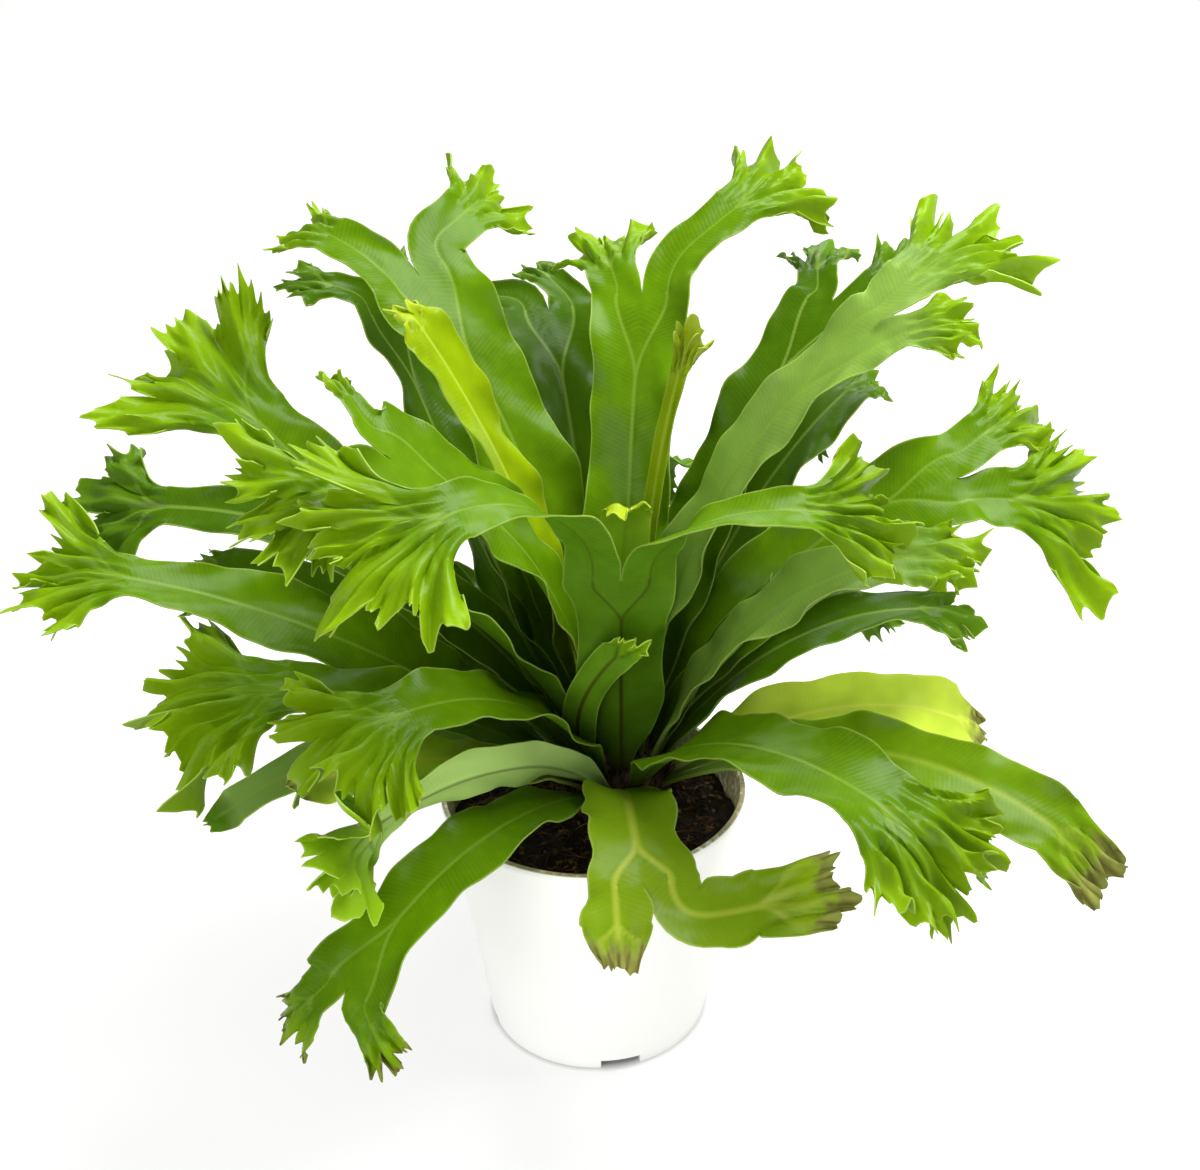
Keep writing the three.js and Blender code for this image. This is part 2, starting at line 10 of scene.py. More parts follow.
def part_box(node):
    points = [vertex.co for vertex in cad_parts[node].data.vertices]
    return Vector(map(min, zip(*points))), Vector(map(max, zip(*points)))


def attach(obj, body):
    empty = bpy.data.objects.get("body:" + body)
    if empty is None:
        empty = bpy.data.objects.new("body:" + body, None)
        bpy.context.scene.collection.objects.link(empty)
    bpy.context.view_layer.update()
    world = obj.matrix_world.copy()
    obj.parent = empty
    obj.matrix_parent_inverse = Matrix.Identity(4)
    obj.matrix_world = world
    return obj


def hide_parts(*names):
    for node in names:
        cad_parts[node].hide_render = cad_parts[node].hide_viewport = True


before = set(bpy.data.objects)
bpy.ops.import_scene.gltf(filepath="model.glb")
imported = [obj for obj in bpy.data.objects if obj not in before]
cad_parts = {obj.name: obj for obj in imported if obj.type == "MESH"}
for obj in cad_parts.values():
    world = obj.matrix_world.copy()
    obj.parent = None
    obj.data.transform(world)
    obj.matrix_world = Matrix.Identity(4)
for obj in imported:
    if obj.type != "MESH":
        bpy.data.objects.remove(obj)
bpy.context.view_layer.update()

bl_info = {
    "name": "Potted crested bird's nest fern",
    "version": (1, 0, 0),
    "blender": (4, 5, 0),
    "location": "3D Viewport > Sidebar > Fern",
    "description": "Fine fronds, soil, crown, pot and studio of a potted crested fern",
    "category": "Object",
}

# Sizes inside the script are millimetres, and MM turns them to Blender's metres.
MM = 0.001
POT_LOW, POT_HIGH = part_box("pot")
CROWN_LOW, CROWN_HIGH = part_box("crown")
POT_HEIGHT = POT_HIGH.z / MM
RIM_RADIUS = POT_HIGH.x / MM
CROWN_X = (CROWN_LOW.x + CROWN_HIGH.x) / 2 / MM
CROWN_Y = (CROWN_LOW.y + CROWN_HIGH.y) / 2 / MM

# The pot, whose height and rim radius are those of its solid.
FOOT_RADIUS = 44
BEAD = 0.8
BEAD_HEIGHT = 3.2
FLOOR = 2
FOOT_RING = 9
CENTRE_FOOT = 12
RECESS = 4
SLOTS = 4
SLOT_WIDTH = 16
SLOT_HEIGHT = 4.6
FRONT_SLOT = 281
DRAINS = 6
DRAIN_RADIUS = 4
DRAIN_CIRCLE = 24
DRAIN_SIDES = 24
POT_SIDES = 168
FOOT_BEVEL = 0.4
RIM_ROUNDING = 0.25
LIP_ROUNDING = 0.3
STAIN_FROM = 70
STAIN_FULL = 80

# The soil and the crown.
SOIL_TOP = 93
SOIL_SIDES = 150
SOIL_RINGS = 46
SOIL_GAP = 0.2
CHIP_REACH = 52.5
FIBRE_REACH = 47.5
CROWN_RADIUS = 20.5
CROWN_HEIGHT = 24.5
CROWN_MIDDLE = 100
CROWN_FOOT = 74
CROWN_SHOULDER = 92
CROWN_SIDES = 40
CROWN_RINGS = 14

# The camera, in degrees above the level and of roll, and what it and the lights face.
CAMERA_ABOVE = 28.2
CAMERA_ROLL = -1.4
CAMERA_AIM = Vector((4.7, 0, 195.6)) * MM
LIGHTS_AIM = Vector((0, 0, 200)) * MM

# How a blade runs. The rules are those of the solids, with a few other numbers.
STALK_WIDTH = 8.5
STALK_THICKNESS = 1.6
SEAT_SHARE = 0.72
SEAT_OUT = 21
SEAT_UP = 25
DROOP_POWER = 1.3
DISH = 0.16
WAVE_HEIGHT = 2
WAVE_LENGTH = 62
FULL_WAVES_FROM = 15
FORK_SWELL = 0.25
LOBE_CHANGE = 0.14
FLAT_FAN_SHARE = 0.42
STEPS = 60

# Where along a stretch of blade, as a share of its length, a change is over or begins.
THIN_AT = 0.4
WIDEST_AT = 0.38
ROLLED_AT = 0.5
TURNED_AT = 0.6
CALM_UNTIL = 0.3
OWN_SHAPE_AT = 0.35
NECK_FROM = 0.55
FORK_FROM = 0.8

# Fine waves of a blade. Each has a height in millimetres, or for the margin's as a share of
# the half width, and the millimetres that it takes for one radian.
RUFFLE = (1.7, 5.6)
SMALL_RUFFLE = (0.4, 2.3)
PUCKER = (0.45, 6.1)
MARGIN_WAVE = (0.018, 3.9)
LONG_MARGIN_WAVE = (0.03, 8.5)
SCALLOP_LENGTH = 17
RIB_REACH = 1.1
FAINT_RIB = 0.35

# How the leaf's texture reads its facts: the way that a vein runs along the blade for each
# millimetre away from its rib, the millimetres by which a web hides a rib, and where a blade
# begins to brown and where it is all paper.
VEIN_SLANT = 0.45
WEB_HIDES = 20.0
BROWN_FROM = 0.95
BROWN_FULL = 1.3

# How a fan's rim is cut. Depths are shares of its radius, and counts are for one lobe.
FAN_SKEW = 0.16
SHALLOW_NOTCH = 0.25
NOTCH_VARIES = 0.6
TOOTHED_FROM = 0.3
FULL_TEETH_RADIUS = 60
SMALL_LOBES = 2.5
SMALL_LOBE_DEPTH = 0.13
RIPPLE_HEIGHT = 0.045
CRUMPLE_HEIGHT = 0.042

# How finely a blade is drawn, in millimetres between rows and between columns, and the
# shares of a fan's radius where its columns become twice and four times as many.
ROW_SPACING = 2.4
COLUMN_SPACING = 1.5
RIM_SPACING = 2.2
FAN_ROW_SPACING = 1.6
FINER_FROM = (0.45, 0.82)


def fan(radius, spread, lobes, depth=0.34, ruffle=0.09, curl=45):
    """The lobed end of a blade: its radius, the angle it opens through, its lobes, how deep
    its notches and how high its pleats are for that radius, and how far it bends back."""
    return {"radius": radius, "spread": spread, "lobes": lobes,
            "depth": depth, "ruffle": ruffle, "curl": curl}


def arm(turn, length, droop, width, crest, twist=0, sweep=0):
    """One branch of a forked blade, with its own fan."""
    return {"turn": turn, "length": length, "droop": droop, "sweep": sweep, "twist": twist,
            "width": width, "crest": crest}


def frond(heading, rise, length, droop, sweep, width, roll=0, look="leaf", tone_and_painted_light=1.0,
          pale=0, gold=0, dry=0, scallop=0, neck=1, crest=None, arms=()):
    """One frond. Heading is 0 to the right and 270 to the front, and rise is how steeply it leaves the
    crown. Pale is how washed out its green is, gold how yellow its midrib, dry the length of its browned
    end, scallop the depth of its margin's waves, and neck the share of its width that is left before its
    crest. Its tone is its brightness: partly its own, and partly painted light that makes up for the shade
    a frond lies in."""
    return {"heading": heading, "rise": rise, "length": length, "droop": droop,
            "sweep": sweep, "turn": 0, "twist": 0, "width": width, "roll": roll,
            "look": look, "tone_and_painted_light": tone_and_painted_light, "pale": pale, "gold": gold, "dry": dry,
            "scallop": scallop, "neck": neck, "crest": crest, "arms": arms}


FRONDS = {
    "left_tall": frond(128, 78, 196, 36, -8, 38, arms=(
        arm(-16, 34, 22, 20, fan(22, 110, 4, curl=70)),
        arm(76, 32, 0, 22, fan(26, 130, 4)))),
    "left_young": frond(151, 80, 184, 12, -19, 26, roll=-10, look="leaf_young",
        crest=fan(12, 120, 3)),
    "left_rear": frond(138, 53, 194, 3, 10, 28, roll=-11, look="leaf_shaded", arms=(
        arm(-60, 18, 20, 12, fan(18, 120, 3)),
        arm(15, 10, 0, 18, fan(28, 110, 4)))),
    "left_fan": frond(165, 50, 180, 8, 4, 30, roll=35,
        crest=fan(52, 125, 4, depth=0.4, ruffle=0.11)),
    "left_low_rear": frond(177, 63, 196, 60, -6, 28, roll=33, look="leaf_shaded", neck=0.6,
        crest=fan(34, 150, 4, depth=0.5)),
    "front_tall": frond(272, 74, 104, 6, 0, 32, arms=(
        arm(-43, 74, 72, 18, fan(37, 130, 6, depth=0.35, curl=25), twist=-98, sweep=-30),
        arm(50, 87, 62, 22, fan(47, 150, 6, depth=0.42, curl=40), twist=72, sweep=-22))),
    "left_arched": frond(206, 86, 170, 56, -3, 39, roll=26, arms=(
        arm(-24, 24, 12, 26, fan(36, 150, 5, depth=0.45)),
        arm(55, 18, -10, 10, fan(12, 110, 3)))),
    "left_long": frond(194, 46, 192, 28, 5, 36, roll=30, neck=0.55,
        crest=fan(36, 130, 5, depth=0.5)),
    "left_mid_rear": frond(154, 40, 160, 38, -18, 26, roll=30, look="leaf_shaded",
        crest=fan(20, 110, 3)),
    "left_low": frond(216, 47, 135, 31, 18, 26, roll=25,
        crest=fan(50, 140, 6, curl=60)),
    "left_ribbed": frond(239, 62, 122, 54, 22, 29, roll=24,
        crest=fan(44, 140, 6, depth=0.3, curl=60)),
    "front_left_folded": frond(246, 47, 121, 55, 39, 20, roll=-63, pale=0.8, tone_and_painted_light=1.35,
        crest=fan(32, 150, 5, ruffle=0.2, curl=60)),
    "front_left_hanging": frond(241, 32, 148, 78, 22, 27, roll=10, dry=3, arms=(
        arm(-60, 8, 5, 14, fan(17, 80, 3)),
        arm(20, 10, 5, 16, fan(20, 90, 3)))),
    "left_yellow": frond(217, 39, 122, 36, 3, 26, roll=12, look="leaf_yellowing",
        tone_and_painted_light=1.3, gold=0.8, dry=4, crest=fan(12, 50, 1, depth=0.1, ruffle=0.05, curl=0)),
    "left_narrow": frond(192, 35, 140, 59, -18, 16, roll=20, look="leaf_shaded",
        pale=0.35, tone_and_painted_light=1.2, crest=fan(12, 40, 1, depth=0.1, ruffle=0.05, curl=0)),
    "front_short": frond(271, 42, 80, 78, -8, 32, tone_and_painted_light=1.15, gold=0.75, dry=12, scallop=1.7, arms=(
        arm(-86, 39, -34, 26, fan(28, 70, 4, depth=0.15, ruffle=0.05, curl=10)),
        arm(4, 14, 5, 25, fan(14, 60, 3, depth=0.09, ruffle=0.05, curl=10)))),
    "right_folded": frond(292, 52, 142, 62, -34, 36, roll=-18, tone_and_painted_light=0.88,
        crest=fan(44, 130, 6, depth=0.4, curl=45)),
    "right_low_long": frond(335, 36, 164, 61, 9, 27, roll=-20, gold=0.3, dry=20,
        crest=fan(26, 60, 4, depth=0.25, ruffle=0.06)),
    "right_yellow": frond(5, 30, 124, 60, -10, 28, roll=-30, look="leaf_yellowing",
        tone_and_painted_light=1.55, gold=0.8, dry=18, crest=fan(20, 60, 3, depth=0.15, ruffle=0.06)),
    "right_arched": frond(340, 69, 144, 51, -1, 32, roll=-15, pale=0.2,
        crest=fan(24, 120, 4)),
    "right_mid_rear": frond(5, 56, 121, 62, -4, 24, roll=-10, look="leaf_shaded",
        crest=fan(24, 110, 3)),
    "right_wide": frond(24, 62, 165, 56, 12, 32, roll=-35, arms=(
        arm(-25, 18, 0, 20, fan(28, 110, 4, depth=0.45)),
        arm(12, 18, 10, 26, fan(48, 140, 5, depth=0.5)))),
    "right_tall_rear": frond(48, 73, 190, 42, 6, 30, look="leaf_shaded", arms=(
        arm(-40, 16, 10, 16, fan(24, 110, 3)),
        arm(10, 18, 0, 18, fan(24, 120, 4)))),
    "right_tall": frond(343, 86, 196, 48, -17, 26, roll=-40, pale=0.25, tone_and_painted_light=1.1, arms=(
        arm(-18, 20, 10, 24, fan(40, 120, 6, depth=0.4)),
        arm(14, 10, 5, 16, fan(22, 110, 4)))),
    "back_tall": frond(75, 86, 176, 45, -5, 32, arms=(
        arm(-22, 14, 10, 20, fan(26, 120, 4)),
        arm(42, 48, 10, 20, fan(38, 110, 5)))),
    "back_left": frond(103, 68, 182, 41, 3, 32, look="leaf_shaded", arms=(
        arm(-75, 24, 10, 14, fan(15, 110, 3)),
        arm(-25, 22, 10, 14, fan(16, 110, 3)))),
    "centre_young": frond(31, 90, 150, 18, -1, 7, roll=-24, look="leaf_young", tone_and_painted_light=0.8,
        crest=fan(16, 50, 4, depth=0.6, ruffle=0.3, curl=20)),
    "front_young": frond(268, 87, 112, 8, -5, 18, look="leaf_young",
        crest=fan(14, 70, 2, curl=120)),
    "inner_left": frond(217, 68, 112, 26, 4, 23,
        crest=fan(12, 60, 2)),
    "inner_left_rear": frond(186, 70, 112, 6, 10, 24, roll=-7, look="leaf_shaded",
        crest=fan(14, 60, 2)),
    "inner_right": frond(7, 66, 70, 22, -6, 15, roll=-12, look="leaf_shaded",
        crest=fan(12, 60, 2)),
    "front_twisted": frond(228, 61, 80, -35, -43, 13, roll=-21, tone_and_painted_light=1.35,
        crest=fan(14, 60, 2)),
    "rear_right_tall": frond(49, 59, 170, 42, 4, 26, look="leaf_shaded",
        crest=fan(20, 110, 3)),
    "rear_right": frond(58, 56, 146, 44, 0, 26, look="leaf_shaded",
        crest=fan(26, 120, 3, curl=90)),
    "rear_left_tall": frond(115, 60, 170, 40, 0, 26, look="leaf_shaded",
        crest=fan(20, 110, 3)),
    "rear_left_low": frond(128, 34, 150, 60, 5, 30, look="leaf_shaded",
        crest=fan(34, 130, 4, curl=70)),
    "rear_low": frond(104, 30, 165, 70, 5, 32, look="leaf_shaded",
        crest=fan(40, 130, 5, curl=70)),
    "rear_arched": frond(88, 52, 175, 75, 0, 32, look="leaf_shaded",
        crest=fan(44, 140, 5, curl=60)),
    "rear_hanging": frond(76, 28, 160, 70, 0, 30, look="leaf_shaded",
        crest=fan(36, 130, 4, curl=70)),
    "rear_right_low": frond(50, 33, 150, 65, -5, 30, look="leaf_shaded",
        crest=fan(36, 130, 4, curl=70)),
}


def smooth(x):
    """Eases from 0 to 1."""
    x = np.clip(x, 0.0, 1.0)
    return x * x * (3 - 2 * x)


def mix(a, b, share):
    """The value at a share of the way from a to b."""
    return a + (b - a) * share


def linear(code):
    """A linear colour with alpha from an sRGB hex code."""
    channels = [int(code[i:i + 2], 16) / 255 for i in (1, 3, 5)]
    return (*(c / 12.92 if c <= 0.04045 else ((c + 0.055) / 1.055) ** 2.4 for c in channels), 1.0)


def rounded(mesh, angle=50):
    """Shades a mesh smooth, except across its sharp edges."""
    mesh.shade_smooth()
    mesh.set_sharp_from_angle(angle=math.radians(angle))


def mesh_of(name, points, triangles, facts=None):
    """A mesh in metres from points in millimetres, with a named number at each point."""
    mesh = bpy.data.meshes.new(name)
    mesh.vertices.add(len(points))
    mesh.vertices.foreach_set("co", (np.asarray(points, float) * MM).astype(np.float32).ravel())
    corners = np.asarray(triangles, np.int32)
    mesh.loops.add(corners.size)
    mesh.loops.foreach_set("vertex_index", corners.ravel())
    mesh.polygons.add(len(corners))
    mesh.polygons.foreach_set("loop_start", np.arange(0, corners.size, corners.shape[1], dtype=np.int32))
    mesh.update(calc_edges=True)
    for key, values in (facts or {}).items():
        attribute = mesh.attributes.new(key, "FLOAT", "POINT")
        attribute.data.foreach_set("value", np.asarray(values, np.float32))
    mesh.validate()
    return mesh


def shown(name, mesh):
    """Puts a finished mesh in the scene, at the origin, unturned."""
    piece = bpy.data.objects.new(name, mesh)
    bpy.context.scene.collection.objects.link(piece)
    return piece


# Blades


def stalk_frame(spec):
    """Where a stalk leaves the crown, and the directions along, right and up of it."""
    def direction(turn, climb):
        turn, climb = math.radians(turn), math.radians(climb)
        level = math.cos(climb)
        return Vector((level * math.cos(turn), level * math.sin(turn), math.sin(climb)))

    along = direction(spec["heading"], spec["rise"])
    heading = math.radians(spec["heading"])
    right = Vector((math.sin(heading), -math.cos(heading), 0))
    out = direction(spec["heading"], spec["rise"] * SEAT_SHARE)
    seat = Vector((out.x * SEAT_OUT, out.y * SEAT_OUT, out.z * SEAT_UP))
    return Vector((CROWN_X, CROWN_Y, CROWN_MIDDLE)) + seat, along, right, right.cross(along)


def walk(start, part):
    """The frames along a stretch of blade, which droops, sweeps, turns early and twists."""
    point, along, right, up = (v.copy() for v in start)
    frames = [[point, along, right, up]]

    def gathered(f):
        turned = math.radians(part["turn"]) * float(smooth(f / TURNED_AT))
        return (math.radians(part["droop"]) * f ** DROOP_POWER,
                math.radians(part["sweep"]) * f + turned, math.radians(part["twist"]) * f)

    for i in range(STEPS):
        pitch, yaw, spin = (b - a for a, b in zip(gathered(i / STEPS), gathered((i + 1) / STEPS)))
        point = point + along * (part["length"] / STEPS)
        down = Quaternion(right, -pitch)
        along, up = down @ along, down @ up
        aside = Quaternion(up, -yaw)
        along, right = aside @ along, aside @ right
        right = Quaternion(along, -spin) @ right
        up = right.cross(along)
        frames.append([point, along, right, up])
    return np.array([[list(v) for v in row] for row in frames])


def frame_at(frames, f, roll=0.0):
    """The frame at a share of a walk, with its face tipped about its length."""
    k = min(int(f * STEPS), STEPS - 1)
    point, along, right, up = mix(frames[k], frames[k + 1], f * STEPS - k)
    right = right / np.linalg.norm(right)
    up = up / np.linalg.norm(up)
    along = along / np.linalg.norm(along)
    tipped_right = right * math.cos(roll) + up * math.sin(roll)
    tipped_up = up * math.cos(roll) - right * math.sin(roll)
    return point, along, tipped_right, tipped_up


class Sheet:
    """Rows of points that become one thin blade. Each point keeps its distance from the
    nearest rib and from the margin, how far along and how far out in the fan it is, and
    whether it lies on the web between a fork's ribs, where the distance changes sign."""

    FACTS = ("rib", "margin", "along", "fan", "crest", "dry", "half", "web")

    def __init__(self):
        self.points = []
        self.facts = {key: [] for key in self.FACTS}
        self.triangles = []
        self.count = 0

    def row(self, t, points, **facts):
        """Adds a row, which t places from -1 on its left to 1, and its facts."""
        start = self.count
        self.points.append(points)
        for key in self.FACTS:
            self.facts[key].append(np.broadcast_to(np.asarray(facts.get(key, 0.0), float), (len(t),)))
        self.count += len(t)
        return t, np.arange(start, self.count)

    def stitch(self, near, far):
        """Triangles between two rows, which may hold different numbers of points."""
        (t0, a), (t1, b) = near, far
        if len(a) == len(b):
            self.triangles.append(np.stack([a[:-1], a[1:], b[1:]], 1))
            self.triangles.append(np.stack([a[:-1], b[1:], b[:-1]], 1))
            return
        i = j = 0
        made = []
        while i + 1 < len(a) or j + 1 < len(b):
            next_a = t0[i + 1] if i + 1 < len(a) else math.inf
            next_b = t1[j + 1] if j + 1 < len(b) else math.inf
            if next_a < next_b - 1e-6:
                made.append((a[i], a[i + 1], b[j]))
                i += 1
            else:
                made.append((a[i], b[j + 1], b[j]))
                j += 1
        self.triangles.append(np.array(made))

    def thicken(self):
        """The blade's two faces and the wall round its margin, as one closed shell."""
        points = np.concatenate(self.points)
        facts = {key: np.concatenate(values) for key, values in self.facts.items()}
        triangles = np.concatenate(self.triangles)
        corners = points[triangles]
        across = np.cross(corners[:, 1] - corners[:, 0], corners[:, 2] - corners[:, 0])
        normals = np.zeros_like(points)
        for k in range(3):
            np.add.at(normals, triangles[:, k], across)
        normals /= np.maximum(np.linalg.norm(normals, axis=1, keepdims=True), 1e-9)
        half = facts.pop("half")[:, None]
        rib = np.exp(-(facts["rib"] / RIB_REACH) ** 2)[:, None]
        grow = bpy.context.scene.fern_fronds.rib_height / MM * (1 - facts["crest"])[:, None]
        upper = points + normals * (half - 0.5 * grow * rib)
        lower = points - normals * (half + grow * rib)
        count = len(points)
        sides = np.concatenate([triangles[:, [0, 1]], triangles[:, [1, 2]], triangles[:, [2, 0]]])
        keys = set(map(tuple, sides.tolist()))
        rim = np.array([(u, v) for u, v in keys if (v, u) not in keys])
        u, v = rim[:, 0], rim[:, 1]
        shell = np.concatenate([
            triangles, triangles[:, [0, 2, 1]] + count,
            np.stack([v, u, u + count], 1), np.stack([v, u + count, v + count], 1)])
        both = {key: np.concatenate([values, values]) for key, values in facts.items()}
        both["underside"] = np.repeat([0.0, 1.0], count)
        return np.concatenate([upper, lower]), shell, both


def nearest(t, ribs):
    """The distance from each t to the nearest rib, with both as shares of a half width."""
    return np.min(np.abs(t[:, None] - np.asarray(ribs)[None, :]), axis=1)


def columns_for(width, part):
    """An even number of columns for a strap, whose fan's notches fall on some of them."""
    if not part["crest"]:
        return 2 * round(width / COLUMN_SPACING / 2)
    lobes = part["crest"]["lobes"]
    each = max(1, round(width / COLUMN_SPACING / lobes))
    return lobes * (each + (each * lobes) % 2)


def ripple(wave, mm, shift):
    """One of the fine waves, at a distance in millimetres along a blade."""
    height, reach = wave
    return height * np.sin(mm / reach + shift)


def forking(f):
    """How far a blade has come towards its fork."""
    return float(smooth((f - FORK_FROM) / (1 - FORK_FROM)))


def browning(look, to_end):
    """How far a point is browned, from its distance to the blade's end."""
    return np.clip(1 - to_end / look["dry"], 0, 1) if look["dry"] else 0.0


def strap(sheet, first, frames, part, width_at, thickness_at, roll, gone, left, look, inherited):
    """A stretch of strap from a row that is there already, then its arms or its fan. Gone
    is the length of blade before it and left the length after it. Inherited gives the lift
    of the stretch before, which it takes up and leaves slowly."""
    rows = max(6, round(part["length"] / ROW_SPACING))
    t = np.linspace(-1, 1, columns_for(width_at(1.0), part) + 1)
    row = first
    phase = look["phase"]
    for i in range(1, rows + 1):
        f = i / rows
        rolled = math.radians(roll) * float(smooth(f / ROLLED_AT))
        point, along, right, up = frame_at(frames, f, rolled)
        half = width_at(f) / 2
        mm = gone + f * part["length"]
        settled = float(smooth(f / CALM_UNTIL))
        broad = min(1, half / FULL_WAVES_FROM)
        # Every wave is shifted by t, so that it runs slanting across the blade.
        swell = np.sin(2 * math.pi * (f * part["length"] / WAVE_LENGTH + 0.3 * t) + part["length"])
        lift = t * t * (DISH * half + WAVE_HEIGHT * broad * swell)
        ruffles = ripple(RUFFLE, mm, 2.2 * t + phase) + ripple(SMALL_RUFFLE, mm, -2 * t)
        lift = lift + broad * np.abs(t) ** 3 * ruffles
        pucker = ripple(PUCKER, mm, phase + 2.6 * t)
        lift = lift + pucker * np.sin(math.pi * np.abs(t)) * settled
        lift = mix(inherited(t), lift, float(smooth(f / OWN_SHAPE_AT)))
        waves = ripple(MARGIN_WAVE, mm, phase + t) + ripple(LONG_MARGIN_WAVE, mm, 2 * t)
        edge = 1 + waves * np.abs(t)
        bays = np.abs(np.sin(math.pi * mm / SCALLOP_LENGTH + phase + 0.8 * np.sign(t))) - 0.6
        edge = edge + look["scallop"] / half * np.abs(t) ** 2 * bays * settled
        points = point + right * (half * t * edge)[:, None] + up * lift[:, None]
        fork = forking(f) / 2 if part.get("arms") else 0.0
        away = (np.abs(t) - fork) * half + look["faint"]
        # The ribs part on the last row before a fork and the first one after it.
        web = 0.0
        if part.get("arms") and i == rows:
            web = np.clip(4 - 9 * np.abs(t), 0, 1)
        if look["outer"] and i == 1:
            web = np.clip(-4 * look["outer"] * t - 0.5, 0, 1)
        nxt = sheet.row(t, points, rib=away, margin=(1 - np.abs(t)) * half, along=mm, web=web,
                        dry=browning(look, left + (1 - f) * part["length"]),
                        half=thickness_at(f) / 2)
        sheet.stitch(row, nxt)
        row = nxt
    last = lift
    if part["crest"]:
        spread_fan(sheet, row, (point, along, right, up), width_at(1.0), part["crest"], mm, look,
                   lambda s: np.interp(s, t, last))
        return
    # An arm begins as half the blade and takes its own width between 0.2 and 0.7 of its way.
    full = width_at(1.0)
    for branch, outer in zip(part["arms"], (-1, 1)):
        chosen = outer * t >= -1e-6
        half_row = (t[chosen] * 2 - outer, row[1][chosen])
        middle = point + right * (outer * full / 4)
        start = [Vector(v) for v in (middle, along, right, up)]
        strap(sheet, half_row, walk(start, branch), branch,
              lambda g, b=branch: mix(full / 2, b["width"], float(smooth((g - 0.2) / 0.5))),
              lambda g: look["thickness"], 0, mm, branch["crest"]["radius"],
              {**look, "faint": FAINT_RIB, "outer": outer},
              lambda s, outer=outer: np.interp((s + outer) / 2, t, last))


def drawn(x, seed):
    """Seeded values from 0 to 1 that wander smoothly along x."""
    low = np.floor(x)

    def at(n):
        value = np.sin(n * 12.9898 + seed * 78.233) * 43758.5453
        return value - np.floor(value)

    return mix(at(low), at(low + 1), smooth(x - low))


class Rim:
    """The rim of a fan, at a number of columns. It is lobed, its lobes are cut again into
    smaller ones, and those end in small curled horns."""

    def __init__(self, crest, columns, seed):
        settings = bpy.context.scene.fern_fronds
        radius, lobes = crest["radius"], crest["lobes"]
        self.sector = math.radians(crest["spread"]) / lobes
        self.blunt = min(1.0, crest["depth"] / TOOTHED_FROM)
        self.t = np.linspace(-1, 1, columns + 1)
        self.u = lobes * (self.t + 1) / 2
        self.lobe = np.floor(np.minimum(self.u, lobes - 0.5))
        self.in_lobe = np.sin(np.pi * (self.u - self.lobe))
        self.own = [np.sin(self.lobe * 2.4 + radius * k) for k in range(5)]
        skew = FAN_SKEW * (drawn(1.0, seed) - 0.5)
        self.angle = self.sector * lobes / 2 * (self.t + skew * np.sin(np.pi * self.t))
        notch = crest["depth"] * (SHALLOW_NOTCH + NOTCH_VARIES * drawn(np.round(self.u), seed + 5))
        notch = notch * (1 - self.in_lobe) ** 2.2
        self.full = radius * (1 - notch + LOBE_CHANGE * self.own[1] * self.in_lobe)
        self.shifted = self.u + 0.35 * (drawn(self.u * 1.7, seed) - 0.5)
        parted = np.sin(np.pi * (SMALL_LOBES * self.shifted + drawn(self.u * 0.8, seed + 1)))
        bay = 1 - (1 - np.abs(parted)) ** 0.8
        cut = self.blunt * radius * SMALL_LOBE_DEPTH * bay * (0.4 + 1.2 * drawn(self.u * 2, seed + 2))
        tooth = settings.tooth_length / MM * (0.2 + 0.8 * self.blunt)
        tooth = tooth * min(1.0, 0.5 + radius / FULL_TEETH_RADIUS)
        self.count = max(2.0, self.sector * radius / (settings.tooth_spacing / MM))
        notched = np.sin(np.pi * (self.shifted * self.count + drawn(self.u * 1.3, seed + 3)))
        self.horn = (1 - np.abs(notched)) ** 1.2
        self.tooth = tooth * (0.5 + 1.1 * drawn(self.u * self.count * 0.41, seed + 4))
        self.tooth = self.tooth * (0.5 + 0.5 * self.in_lobe)
        self.cut = cut + self.tooth * (1 - self.horn) - 0.8 * tooth * self.in_lobe
        self.bent = 2 * drawn(self.u * 2.3, seed + 6) - 0.5


